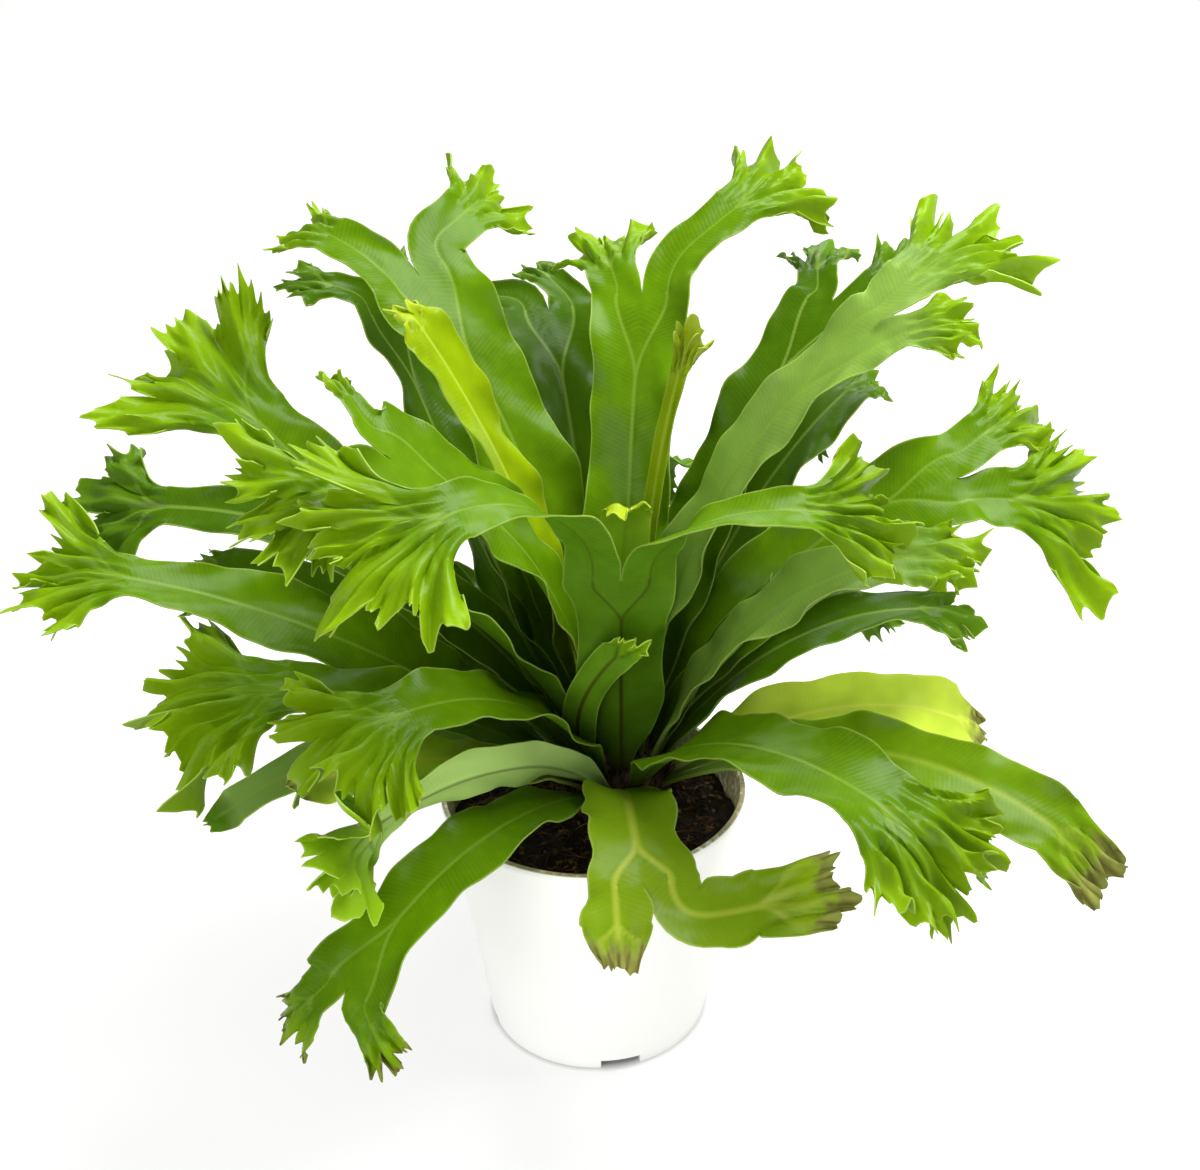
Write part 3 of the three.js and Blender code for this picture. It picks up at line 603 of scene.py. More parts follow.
def spread_fan(sheet, row, frame_here, width, crest, gone, look, inherited):
    """The fan at the end of a blade. It opens from the strap's last row to its rim, bends
    back, and is pleated more and more towards the rim."""
    point, along, right, up = frame_here
    radius, lobes, phase = crest["radius"], crest["lobes"], look["phase"]
    each = max(6, 2 * round(math.radians(crest["spread"]) * radius / lobes / RIM_SPACING / 2))
    seed = 10 * phase
    rims = [Rim(crest, lobes * each * finer, seed + gone) for finer in (1, 2, 4)]
    rows = max(8, round(radius / FAN_ROW_SPACING))
    bend_back = math.radians(crest["curl"]) / (radius * 1.2)
    middles = (2 * np.arange(lobes) + 1) / lobes - 1
    for i in range(1, rows + 1):
        q = i / rows
        e = rims[sum(q > start for start in FINER_FROM)]
        t, u, in_lobe = e.t, e.u, e.in_lobe
        rim = e.full - e.cut * q ** 4
        # Columns run out in curves that y1 bends, and those of one lobe spread apart near
        # the rim.
        opened = e.angle + 0.35 * e.sector * (u - e.lobe - 0.5) * in_lobe ** 0.6 * q ** 3
        x = (1 - q * q) * width / 2 * t + q * q * rim * np.sin(opened)
        y1 = radius * (0.45 - 0.15 * t * t)
        y2 = radius * 0.15 + rim * np.cos(opened)
        y = 2 * q * (1 - q) * y1 + q * q * y2
        # Pleats and ripples, crumpling, then the teeth's own waves and their curled horns.
        lift = radius * crest["ruffle"] * q ** 2 * (np.sin(2 * np.pi * u) - in_lobe * e.own[2])
        rippled = np.sin(4 * np.pi * e.shifted + e.own[4] * 6)
        lift = lift + radius * RIPPLE_HEIGHT * e.blunt * q ** 2 * rippled
        bumpy = np.sin(2 * np.pi * (1.9 * q + 1.6 * drawn(1.4 * u, seed + 6)))
        bumpy = bumpy * (0.4 + drawn(2.3 * u, seed + 7))
        lift = lift + radius * CRUMPLE_HEIGHT * e.blunt * q * bumpy
        lift = lift + 0.4 * e.tooth * q ** 5 * np.sin(np.pi * e.count * e.shifted + phase)
        lift = lift + 0.9 * e.tooth * e.bent * e.horn * q ** 10
        lift = lift - 3.6 * (1 - q) * q * np.cos(2 * np.pi * u)
        lift = lift + inherited(t) * max(0.0, 1 - q / FLAT_FAN_SHARE)
        # The fan bends back along an arc, which keeps its length.
        rolled = bend_back * y * (1 + 0.5 * q * e.own[3] * in_lobe)
        ahead = y * np.sinc(rolled / np.pi) + lift * np.sin(rolled)
        down = y * (1 - np.cos(rolled)) / np.where(np.abs(rolled) < 1e-6, np.inf, rolled)
        rise = lift * np.cos(rolled) - down
        points = point + right * x[:, None] + along * ahead[:, None] + up * rise[:, None]
        wide = abs(x[-1])
        away = nearest(t, middles * float(smooth(q / 0.6))) * wide
        margin = np.minimum((1 - np.abs(t)) * wide, (1 - q) * rim)
        nxt = sheet.row(t, points, rib=away, margin=margin, along=gone + y, fan=e.angle * radius,
                        crest=q, dry=browning(look, (1 - q) * radius), half=look["thickness"] / 2)
        sheet.stitch(row, nxt)
        row = nxt


def blade(name, spec):
    """The finished shell of one frond."""
    settings = bpy.context.scene.fern_fronds
    thin = settings.blade_thickness / MM
    look = {"phase": random.Random(name).uniform(0, 2 * math.pi), "dry": spec["dry"],
            "scallop": spec["scallop"], "thickness": thin, "faint": 0.0, "outer": 0}
    sheet = Sheet()
    start = stalk_frame(spec)
    t = np.linspace(-1, 1, columns_for(spec["width"], spec) + 1)
    half = STALK_WIDTH / 2
    points = np.array(start[0]) + np.array(start[2]) * (half * t)[:, None]
    first = sheet.row(t, points, rib=np.abs(t) * half, margin=(1 - np.abs(t)) * half,
                      half=STALK_THICKNESS / 2)

    def width_at(f):
        """The blade's width, which grows from the stalk, narrows to the neck or swells."""
        fork = 1 + FORK_SWELL * forking(f) if spec["arms"] else 1
        neck = mix(1, spec["neck"], float(smooth((f - NECK_FROM) / (1 - NECK_FROM))))
        return mix(STALK_WIDTH, spec["width"], float(smooth(f / WIDEST_AT))) * fork * neck

    def thickness_at(f):
        """The blade's thickness, from the stalk's to a thin blade's."""
        return mix(STALK_THICKNESS, thin, float(smooth(f / THIN_AT)))

    if spec["arms"]:
        left = max(b["length"] + b["crest"]["radius"] for b in spec["arms"])
    else:
        left = spec["crest"]["radius"]
    strap(sheet, first, walk(start, spec), spec, width_at, thickness_at, spec["roll"], 0.0,
          left, look, lambda s: 0 * s)
    return sheet.thicken()


# Materials


def add(tree, kind, inputs=None, **settings):
    """Adds a node with its settings, and its inputs as values or as sockets to link."""
    node = tree.nodes.new(kind)
    for key, value in settings.items():
        setattr(node, key, value)
    for key, value in (inputs or {}).items():
        if isinstance(value, bpy.types.NodeSocket):
            tree.links.new(value, node.inputs[key])
        else:
            node.inputs[key].default_value = value
    return node


def fresh_material(name):
    """An empty material with its node tree."""
    material = bpy.data.materials.new(name)
    material.use_nodes = True
    material.node_tree.nodes.clear()
    return material, material.node_tree


def layered(tree, colour, layers):
    """A colour with further colours laid over it in turn. A layer is a colour and the ranges
    that its share is the product of, each a value, its low and its high, and the share at
    the low and at the high."""
    for over, *ranges in layers:
        share = None
        for value, low, high, at_low, at_high in ranges:
            part = add(tree, "ShaderNodeMapRange",
                       {"Value": value, "From Min": low, "From Max": high,
                        "To Min": at_low, "To Max": at_high}).outputs["Result"]
            share = part if share is None else add(
                tree, "ShaderNodeMath", {0: share, 1: part}, operation="MULTIPLY").outputs[0]
        colour = add(tree, "ShaderNodeMix", {"Factor": share, 6: colour, 7: over},
                     data_type="RGBA").outputs[2]
    return colour


def leaf_material(name, upper, under, tip_and_highlight, rib, rib_under, settings):
    """Living fern blade: a thin waxy green sheet, shiny but soft above, duller and paler
    below, that lets yellow-green light through. The blade gives it its ribs, its fine side
    veins at about 65 degrees to them, its pale thin margin and any browned, papery end."""
    material, tree = fresh_material(name)
    keys = ("rib", "web", "margin", "along", "fan", "crest", "dry", "underside", "tone_and_painted_light", "pale", "gold")
    fact = {key: add(tree, "ShaderNodeAttribute", attribute_name=key).outputs["Fac"] for key in keys}
    crest, along, below = fact["crest"], fact["along"], fact["underside"]
    pale, gold = fact["pale"], fact["gold"]
    place = add(tree, "ShaderNodeTexCoord").outputs["Object"]
    # Cloudy patches about 25 mm across, spots of about 5 mm, and creases of about 4 mm.
    cloud, speck, crease = (
        add(tree, "ShaderNodeTexNoise",
            {"Vector": place, "Scale": scale, "Detail": detail}).outputs["Fac"]
        for scale, detail in ((40, 2), (210, 1), (260, 1)))

    away = add(tree, "ShaderNodeMath", {0: fact["rib"]}, operation="ABSOLUTE").outputs[0]
    off_rib = add(tree, "ShaderNodeMath", {0: fact["web"], 1: WEB_HIDES, 2: away},
                  operation="MULTIPLY_ADD").outputs[0]
    # Veins every 1.8 mm beside a rib and every 2.6 mm in a fan, a little coarser than real
    # ones so that they show.
    run = add(tree, "ShaderNodeMath", {0: away, 1: -VEIN_SLANT, 2: along},
              operation="MULTIPLY_ADD").outputs[0]
    lines = []
    for across, spacing, wide in ((run, 1.8, 0.6), (fact["fan"], 2.6, 0.7)):
        off = add(tree, "ShaderNodeMath", {0: across, 1: spacing / 2}, operation="PINGPONG").outputs[0]
        lines.append(add(tree, "ShaderNodeMapRange", {
            "Value": off, "From Max": wide, "To Min": 1.0, "To Max": 0.0}).outputs["Result"])
    in_fan = add(tree, "ShaderNodeMapRange",
                 {"Value": crest, "From Min": 0.05, "From Max": 0.35}).outputs["Result"]
    vein = add(tree, "ShaderNodeMix", {"Factor": in_fan, 2: lines[0], 3: lines[1]},
               data_type="FLOAT").outputs[0]

    any_rib = layered(tree, rib, [(rib_under, (below, 0.0, 1.0, 0.0, 1.0))])
    living = layered(tree, upper, [
        (under, (below, 0.0, 1.0, 0.0, 1.0)),
        # Dark patches and light spots, then the crest's brighter green, partly its own lighter green and
        # partly painted highlight, and the veins.
        (linear("#33520a"), (cloud, 0.35, 0.7, 0.0, 0.42)),
        (tip_and_highlight, (speck, 0.45, 0.8, 0.0, 0.1)),
        (tip_and_highlight, (crest, 0.3, 1.05, 0.0, 0.7)),
        (tip_and_highlight, (vein, 0.0, 1.0, 0.0, 1.0), (cloud, 0.4, 0.65, 0.03, 0.12)),
        # A washed out blade, then a golden one with its golden midrib.
        (linear("#b4d078"), (pale, 0.0, 1.0, 0.0, 1.0), (crest, 0.0, 0.6, 1.0, 0.0)),
        (linear("#b0c02c"), (gold, 0.0, 1.0, 0.0, 0.3)),
        (linear("#c8cc50"), (gold, 0.0, 1.0, 0.0, 1.0), (off_rib, 0.1, 2.2, 0.75, 0.0),
         (crest, 0.0, 0.8, 1.0, 0.2)),
        # The midrib, and the brown keel of its underside near the crown.
        (any_rib, (off_rib, 0.3, 1.0, settings.rib_show, 0.0), (crest, 0.1, 0.8, 1.0, 0.1),
         (gold, 0.0, 1.0, 1.0, 0.2)),
        (rib_under, (below, 0.0, 1.0, 0.0, 1.0), (along, 45.0, 90.0, 0.85, 0.0),
         (pale, 0.2, 0.7, 1.0, 0.0), (off_rib, 0.3, 0.9, 1.0, 0.0)),
        # The pale margin, then painted shade: a dark green that deepens towards the crown, where the fronds
        # shade each other, and last the dark brown foot of the blade.
        (linear("#c3d66c"), (fact["margin"], 0.0, 0.6, 0.38, 0.0)),
        (linear("#1f3a04"), (along, 10.0, 85.0, settings.painted_crown_shade, 0.0)),
        (linear("#2b2a0c"), (along, 3.0, 24.0, 0.85, 0.0)),
    ])
    # The browned end has an uneven edge, which the spots and patches move.
    ragged = add(tree, "ShaderNodeMath", {0: speck, 1: 0.9, 2: fact["dry"]},
                 operation="MULTIPLY_ADD").outputs[0]
    ragged = add(tree, "ShaderNodeMath", {0: cloud, 1: 0.3, 2: ragged},
                 operation="MULTIPLY_ADD").outputs[0]
    browned = (ragged, BROWN_FROM, BROWN_FULL, 0.0, 1.0)
    paper = layered(tree, linear("#8f9648"), [
        (linear("#5c5428"), (vein, 0.0, 1.0, 0.0, 1.0)),
        (linear("#777036"), (speck, 0.4, 0.65, 0.0, 0.5))])
    colour = layered(tree, living, [(paper, browned)])
    # The tone multiplies the colour: partly a frond's own brightness and partly painted light that makes up
    # for the shade a frond lies in.
    colour = add(tree, "ShaderNodeMix", {"Factor": 1.0, 6: colour, 7: fact["tone_and_painted_light"]},
                 data_type="RGBA", blend_type="MULTIPLY").outputs[2]

    # Creases are only in the crests. They, the veins and the patches make the bump.
    creased = add(tree, "ShaderNodeMapRange", {
        "Value": crest, "From Min": 0.1, "From Max": 0.7, "To Max": 2.2}).outputs["Result"]
    height = speck
    for value, share in ((cloud, 2.0), (vein, 0.13), (crease, creased)):
        height = add(tree, "ShaderNodeMath", {0: value, 1: share, 2: height},
                     operation="MULTIPLY_ADD").outputs[0]
    bump = add(tree, "ShaderNodeBump", {"Height": height, "Strength": 0.3, "Distance": 0.0005}).outputs[0]
    # Waxy above, duller below, and matt where the blade is paper.
    rough = add(tree, "ShaderNodeMapRange", {
        "Value": below, "To Min": settings.gloss_above, "To Max": 0.5}).outputs["Result"]
    matt = add(tree, "ShaderNodeMapRange", {
        "Value": ragged, "From Min": BROWN_FROM, "From Max": BROWN_FULL,
        "To Max": 0.75}).outputs["Result"]
    rough = add(tree, "ShaderNodeMath", {0: rough, 1: matt}, operation="MAXIMUM").outputs[0]
    surface = add(tree, "ShaderNodeBsdfPrincipled",
                  {"Base Color": colour, "Roughness": rough, "IOR": 1.42,
                   "Specular IOR Level": 0.13, "Normal": bump}).outputs[0]
    through = add(tree, "ShaderNodeMix", {"Factor": 0.35, 6: colour, 7: linear("#b4dc1c")},
                  data_type="RGBA").outputs[2]
    glow = add(tree, "ShaderNodeBsdfTranslucent", {"Color": through, "Normal": bump}).outputs[0]
    both = add(tree, "ShaderNodeMixShader", {0: settings.translucency, 1: surface, 2: glow}).outputs[0]
    add(tree, "ShaderNodeOutputMaterial", {"Surface": both})
    return material


def leaf_materials():
    """One material for each age of frond, and one with darker greens that paint shade on fronds lying in
    the shade of others: each has its upper and under side, its crest, and its midrib above and below."""
    s = bpy.context.scene.fern_fronds
    brown = linear("#3a2a0c")
    ages = {
        "leaf": ("mature_fern_blade", s.leaf_colour, s.under_colour,
                 s.tip_and_highlight_colour, linear("#82a236"), brown),
        "leaf_young": ("young_fern_blade", s.young_colour, linear("#9cc02c"),
                       linear("#bccc28"), linear("#c2d64c"), linear("#8a9a30")),
        # Painted shade: darker greens for the fronds that lie in the shade of others.
        "leaf_shaded": ("painted_shade_fern_blade", s.painted_shade_colour, linear("#5f8626"),
                        linear("#648c1c"), linear("#86a244"), brown),
        "leaf_yellowing": ("yellowing_fern_blade", s.yellowing_colour, linear("#bccc6c"),
                           linear("#a8bc48"), linear("#e4e67c"), linear("#c9cf6c")),
    }
    return {slot: leaf_material(name, *map(tuple, colours), s)
            for slot, (name, *colours) in ages.items()}


def pot_material():
    """White polypropylene, injection moulded: a smooth satin white with a soft sheen, and
    dried soil water that left cream and brown flecks on the rim and the inside."""
    s = bpy.context.scene.fern_pot
    material, tree = fresh_material("moulded_white_polypropylene")
    place = add(tree, "ShaderNodeTexCoord").outputs["Object"]
    spot = add(tree, "ShaderNodeSeparateXYZ", {0: place})
    # Flecks of 1 to 3 mm in patches of 20 mm.
    flecks = add(tree, "ShaderNodeTexNoise", {"Vector": place, "Scale": 420, "Detail": 4}).outputs["Fac"]
    patch = add(tree, "ShaderNodeTexNoise", {"Vector": place, "Scale": 45, "Detail": 1}).outputs["Fac"]
    flat = add(tree, "ShaderNodeCombineXYZ", {0: spot.outputs[0], 1: spot.outputs[1]}).outputs[0]
    far = add(tree, "ShaderNodeVectorMath", {0: flat}, operation="LENGTH").outputs["Value"]
    # The wall leans, so its radius is brought down to the foot's before inside and outside
    # are told apart.
    slope = (RIM_RADIUS - BEAD - FOOT_RADIUS) / POT_HEIGHT
    wall = add(tree, "ShaderNodeMath", {0: spot.outputs[2], 1: -slope, 2: far},
               operation="MULTIPLY_ADD").outputs[0]
    inside, high, lip = (
        add(tree, "ShaderNodeMapRange",
            {"Value": value, "From Min": low * MM, "From Max": full * MM}).outputs[0]
        for value, low, full in ((wall, FOOT_RADIUS - 0.4, FOOT_RADIUS - 1.0),
                                 (spot.outputs[2], STAIN_FROM, STAIN_FULL),
                                 (spot.outputs[2], POT_HEIGHT - 0.5, POT_HEIGHT - 0.1)))
    marked = add(tree, "ShaderNodeMath", {0: inside, 1: high}, operation="MULTIPLY").outputs[0]
    marked = add(tree, "ShaderNodeMath", {0: marked, 1: lip}, operation="MAXIMUM").outputs[0]
    both = add(tree, "ShaderNodeMath", {0: flecks, 1: patch}, operation="ADD").outputs[0]
    stain = layered(tree, linear("#ddd2a8"), [(linear("#8a7446"), (flecks, 0.0, 1.0, 0.0, 1.0))])
    colour = layered(tree, tuple(s.plastic_colour), [
        (stain, (both, 0.7, 0.95, 0.0, 1.0), (marked, 0.0, 1.0, 0.0, 1.0))])
    surface = add(tree, "ShaderNodeBsdfPrincipled", {"Base Color": colour, "Roughness": 0.36,
                                                     "IOR": 1.49}).outputs[0]
    add(tree, "ShaderNodeOutputMaterial", {"Surface": surface})
    return material


def earth_material(name, dark, light, scale):
    """Moist peat and coir, the bark and fibre in it, or the rootstock: nearly black brown,
    matt, with lighter crumbs."""
    material, tree = fresh_material(name)
    place = add(tree, "ShaderNodeTexCoord").outputs["Object"]
    crumbs = add(tree, "ShaderNodeTexNoise", {"Vector": place, "Scale": scale, "Detail": 5}).outputs["Fac"]
    colour = layered(tree, dark, [(light, (crumbs, 0.4, 0.72, 0.0, 1.0))])
    bump = add(tree, "ShaderNodeBump", {"Height": crumbs, "Strength": 0.7, "Distance": 0.001}).outputs[0]
    surface = add(tree, "ShaderNodeBsdfPrincipled", {"Base Color": colour, "Roughness": 0.9,
                                                     "Specular IOR Level": 0.25, "Normal": bump}).outputs[0]
    add(tree, "ShaderNodeOutputMaterial", {"Surface": surface})
    return material


# Geometry trees


def new_tree(name, sizes):
    """A geometry tree with a mesh in, a mesh out, named sizes and a material."""
    tree = bpy.data.node_groups.new(name, "GeometryNodeTree")
    tree.interface.new_socket(name="Geometry", in_out="INPUT", socket_type="NodeSocketGeometry")
    for key, kind in sizes.items():
        tree.interface.new_socket(name=key, in_out="INPUT", socket_type=kind)
    tree.interface.new_socket(name="Material", in_out="INPUT", socket_type="NodeSocketMaterial")
    tree.interface.new_socket(name="Geometry", in_out="OUTPUT", socket_type="NodeSocketGeometry")
    return tree, tree.nodes.new("NodeGroupInput").outputs


def close_tree(tree, geometry, material):
    """Ends a tree with real, painted geometry."""
    real = add(tree, "GeometryNodeRealizeInstances", {"Geometry": geometry}).outputs[0]
    painted = add(tree, "GeometryNodeSetMaterial", {"Geometry": real, "Material": material}).outputs[0]
    add(tree, "NodeGroupOutput", {0: painted})


def grown(tree, source, values):
    """The plain mesh that a tree grows from an object."""
    modifier = source.modifiers.new(tree.name, "NODES")
    modifier.node_group = tree
    for item in tree.interface.items_tree:
        if item.in_out == "INPUT" and item.name in values:
            modifier[item.identifier] = values[item.name]
    graph = bpy.context.evaluated_depsgraph_get()
    mesh = bpy.data.meshes.new_from_object(source.evaluated_get(graph))
    source.modifiers.remove(modifier)
    return mesh


def litter_tree():
    """Chips of bark and bent fibres that lie on the soil."""
    tree, given = new_tree("Soil litter", {
        "Chips": "NodeSocketFloat", "Fibres": "NodeSocketFloat", "Chip Length": "NodeSocketFloat",
        "Fibre Length": "NodeSocketFloat", "Seed": "NodeSocketInt"})
    normal = add(tree, "GeometryNodeInputNormal").outputs[0]
    rise = add(tree, "ShaderNodeSeparateXYZ", {0: normal}).outputs[2]
    place = add(tree, "GeometryNodeInputPosition").outputs[0]
    flat = add(tree, "ShaderNodeVectorMath", {0: place, 1: (1.0, 1.0, 0.0)},
               operation="MULTIPLY").outputs[0]
    out = add(tree, "ShaderNodeVectorMath", {0: flat}, operation="LENGTH").outputs["Value"]

    def within(limit):
        """Whether a face is level and lies nearer the axis than a limit."""
        near = add(tree, "FunctionNodeCompare", {0: out, 1: limit}, operation="LESS_THAN").outputs[0]
        level = add(tree, "FunctionNodeCompare", {0: rise, 1: 0.5}, operation="GREATER_THAN").outputs[0]
        return add(tree, "FunctionNodeBooleanMath", {0: near, 1: level}, operation="AND").outputs[0]

    chip_points = add(tree, "GeometryNodeDistributePointsOnFaces",
                      {"Mesh": given["Geometry"], "Selection": within(CHIP_REACH * MM),
                       "Density": given["Chips"], "Seed": given["Seed"]})
    chip = add(tree, "GeometryNodeMeshIcoSphere", {"Radius": 0.5, "Subdivisions": 1}).outputs[0]
    spin = add(tree, "FunctionNodeRandomValue", {"Min": (-0.5, -0.5, 0.0), "Max": (0.5, 0.5, 6.28),
                                                 "Seed": 3}, data_type="FLOAT_VECTOR").outputs[0]
    grow = add(tree, "FunctionNodeRandomValue", {"Min": (0.3, 0.12, 0.1), "Max": (1.0, 0.45, 0.3),
                                                 "Seed": 5}, data_type="FLOAT_VECTOR").outputs[0]
    size = add(tree, "ShaderNodeVectorMath", {0: grow, "Scale": given["Chip Length"]},
               operation="SCALE").outputs[0]
    chips = add(tree, "GeometryNodeInstanceOnPoints",
                {"Points": chip_points.outputs["Points"], "Instance": chip, "Rotation": spin,
                 "Scale": size}).outputs[0]
    fibre_points = add(tree, "GeometryNodeDistributePointsOnFaces",
                       {"Mesh": given["Geometry"], "Selection": within(FIBRE_REACH * MM),
                        "Density": given["Fibres"], "Seed": 11})
    bend = add(tree, "GeometryNodeCurveQuadraticBezier",
               {"Resolution": 5, "Start": (-0.5, 0, 0), "Middle": (0.0, 0.25, 0.22),
                "End": (0.5, 0, 0.03)}).outputs[0]
    round_ = add(tree, "GeometryNodeCurvePrimitiveCircle", {"Resolution": 3, "Radius": 0.022}).outputs[0]
    fibre = add(tree, "GeometryNodeCurveToMesh", {"Curve": bend, "Profile Curve": round_,
                                                  "Fill Caps": True}).outputs[0]
    turn = add(tree, "FunctionNodeRandomValue", {"Min": (-0.7, -0.35, 0.0), "Max": (0.7, 0.35, 6.28),
                                                 "Seed": 7}, data_type="FLOAT_VECTOR").outputs[0]
    long_ = add(tree, "FunctionNodeRandomValue", {"Min": (0.3, 0.3, 0.3), "Max": (1.0, 1.0, 1.0),
                                                  "Seed": 9}, data_type="FLOAT_VECTOR").outputs[0]
    reach = add(tree, "ShaderNodeVectorMath", {0: long_, "Scale": given["Fibre Length"]},
                operation="SCALE").outputs[0]
    fibres = add(tree, "GeometryNodeInstanceOnPoints",
                 {"Points": fibre_points.outputs["Points"], "Instance": fibre, "Rotation": turn,
                  "Scale": reach}).outputs[0]
    joined = add(tree, "GeometryNodeJoinGeometry")
    tree.links.new(chips, joined.inputs[0])
    tree.links.new(fibres, joined.inputs[0])
    close_tree(tree, joined.outputs[0], given["Material"])
    return tree


def scale_tree():
    """The narrow papery scales that cover the crown, pointing up and outwards."""
    tree, given = new_tree("Crown scales", {
        "Density": "NodeSocketFloat", "Length": "NodeSocketFloat", "Seed": "NodeSocketInt"})
    points = add(tree, "GeometryNodeDistributePointsOnFaces",
                 {"Mesh": given["Geometry"], "Density": given["Density"], "Seed": given["Seed"]})
    lifted = add(tree, "ShaderNodeVectorMath", {0: points.outputs["Normal"], 1: (0.0, 0.0, 1.6)},
                 operation="ADD").outputs[0]
    turned = add(tree, "FunctionNodeAlignRotationToVector", {"Vector": lifted}, axis="Z").outputs[0]
    cone = add(tree, "GeometryNodeMeshCone", {"Vertices": 5, "Radius Top": 0.0, "Radius Bottom": 0.14,
                                              "Depth": 1.0}).outputs[0]
    size = add(tree, "FunctionNodeRandomValue", {2: 0.5, 3: 1.0, "Seed": 2}, data_type="FLOAT").outputs[1]
    reach = add(tree, "ShaderNodeMath", {0: size, 1: given["Length"]}, operation="MULTIPLY").outputs[0]
    scales = add(tree, "GeometryNodeInstanceOnPoints",
                 {"Points": points.outputs["Points"], "Instance": cone, "Rotation": turned,
                  "Scale": reach}).outputs[0]
    close_tree(tree, scales, given["Material"])
    return tree


# Settings


class FernFrondSettings(bpy.types.PropertyGroup):
    """Sizes and colours of the fronds"""
    blade_thickness: FloatProperty(name="Blade Thickness", description="Thickness of a blade",
                                   default=0.5 * MM, min=0.2 * MM, unit="LENGTH")
    rib_height: FloatProperty(name="Rib Height", description="How far the midrib stands out below",
                              default=0.7 * MM, min=0, unit="LENGTH")
    tooth_length: FloatProperty(name="Tooth Length", description="Length of the teeth on a crest",
                                default=4.2 * MM, min=0, unit="LENGTH")
    tooth_spacing: FloatProperty(name="Tooth Spacing", description="Distance from tooth to tooth",
                                 default=3.3 * MM, min=1 * MM, unit="LENGTH")
    gloss_above: FloatProperty(name="Roughness Above", description="Roughness of the upper face",
                               default=0.26, min=0, max=1, subtype="FACTOR")
    # Painted shade: how much the colour darkens a blade near the crown, where the other fronds shade it.
    painted_crown_shade: FloatProperty(name="Dark Base", description="How dark a blade is near the crown",
                              default=0.5, min=0, max=1, subtype="FACTOR")
    rib_show: FloatProperty(name="Rib Colour", description="How plainly the midrib shows",
                            default=0.55, min=0, max=1, subtype="FACTOR")
    translucency: FloatProperty(name="Translucency", description="Share of light let through",
                                default=0.3, min=0, max=1, subtype="FACTOR")
    leaf_colour: FloatVectorProperty(name="Leaf", description="Upper face of a mature blade",
                                     subtype="COLOR", size=4, default=linear("#5b8305"))
    under_colour: FloatVectorProperty(name="Underside", description="Lower face of a mature blade",
                                      subtype="COLOR", size=4, default=linear("#5c8716"))
    # The crest's lighter green, partly its own and partly painted highlight.
    tip_and_highlight_colour: FloatVectorProperty(name="Crest", description="Rim of a mature crest",
                                    subtype="COLOR", size=4, default=linear("#96ba10"))
    young_colour: FloatVectorProperty(name="Young Leaf", description="Upper face of a young blade",
                                      subtype="COLOR", size=4, default=linear("#92ae04"))
    # Painted shade: the darker green of a blade that lies in the shade of other fronds.
    painted_shade_colour: FloatVectorProperty(name="Shaded Leaf", description="Upper face of a shaded blade",
                                       subtype="COLOR", size=4, default=linear("#416303"))
    yellowing_colour: FloatVectorProperty(name="Yellowing Leaf", description="Upper face of an old blade",
                                          subtype="COLOR", size=4, default=linear("#cede52"))


class FernPotSettings(bpy.types.PropertyGroup):
    """Wall and colour of the pot"""
    wall: FloatProperty(name="Wall", description="Thickness of the pot's wall",
                        default=1.6 * MM, min=0.5 * MM, unit="LENGTH")
    plastic_colour: FloatVectorProperty(name="Plastic", description="Colour of the pot",
                                        subtype="COLOR", size=4, default=linear("#fafaf7"))


class FernSoilSettings(bpy.types.PropertyGroup):
    """Soil, litter and crown scales"""
    roughness: FloatProperty(name="Crumb Height", description="How uneven the soil is",
                             default=1.6 * MM, min=0, unit="LENGTH")
    chip_length: FloatProperty(name="Chip Length", description="Longest chip of bark",
                               default=5.5 * MM, min=0, unit="LENGTH")
    fibre_length: FloatProperty(name="Fibre Length", description="Longest fibre",
                                default=16 * MM, min=0, unit="LENGTH")
    scale_length: FloatProperty(name="Crown Scale Length", description="Longest scale on the crown",
                                default=7 * MM, min=0, unit="LENGTH")
    seed: IntProperty(name="Seed", description="Layout of the litter", default=4)
    soil_colour: FloatVectorProperty(name="Soil", description="Colour of the moist soil",
                                     subtype="COLOR", size=4, default=linear("#120b06"))


class FernStageSettings(bpy.types.PropertyGroup):
    """Floor, lights and camera"""
    floor_size: FloatProperty(name="Floor", description="Side of the floor",
                              default=12.0, min=1, unit="LENGTH")
    floor_glow: FloatProperty(name="Floor Glow", description="Light that the floor gives off",
                              default=0.66, min=0)
    key_power: FloatProperty(name="Key Light", description="Power of the large light above",
                             default=34.0, min=0)
    world_strength: FloatProperty(name="Surround", description="Strength of the white surround",
                                  default=0.3, min=0)
    distance: FloatProperty(name="Camera Distance", description="From the camera to the plant",
                            default=0.745, min=0.2, unit="LENGTH")


# Pieces


def outer_radius(z):
    """The radius of the pot's outer wall at a height."""
    return mix(FOOT_RADIUS, RIM_RADIUS - BEAD, z / POT_HEIGHT)


def skin(sides, rings):
    """The triangles of a closed solid whose points are its lower pole, rings of so many
    sides from there on, and its other pole."""
    triangles = []
    last = 1 + sides * rings
    for i in range(sides):
        j = (i + 1) % sides
        triangles.append((0, 1 + j, 1 + i))
        for k in range(rings - 1):
            a, b = 1 + k * sides, 1 + (k + 1) * sides
            triangles += [(a + i, a + j, b + j), (a + i, b + j, b + i)]
        a = 1 + (rings - 1) * sides
        triangles.append((a + i, a + j, last))
    return triangles


def lathe(profile, sides):
    """A closed solid turned about the vertical, from a profile that runs up the outside
    from the axis and back to the axis on the inside."""
    points = [(0, 0, profile[0][1])]
    around = [2 * math.pi * i / sides for i in range(sides)]
    for r, z in profile[1:-1]:
        points += [(r * math.cos(a), r * math.sin(a), z) for a in around]
    points.append((0, 0, profile[-1][1]))
    return points, skin(sides, len(profile) - 2)


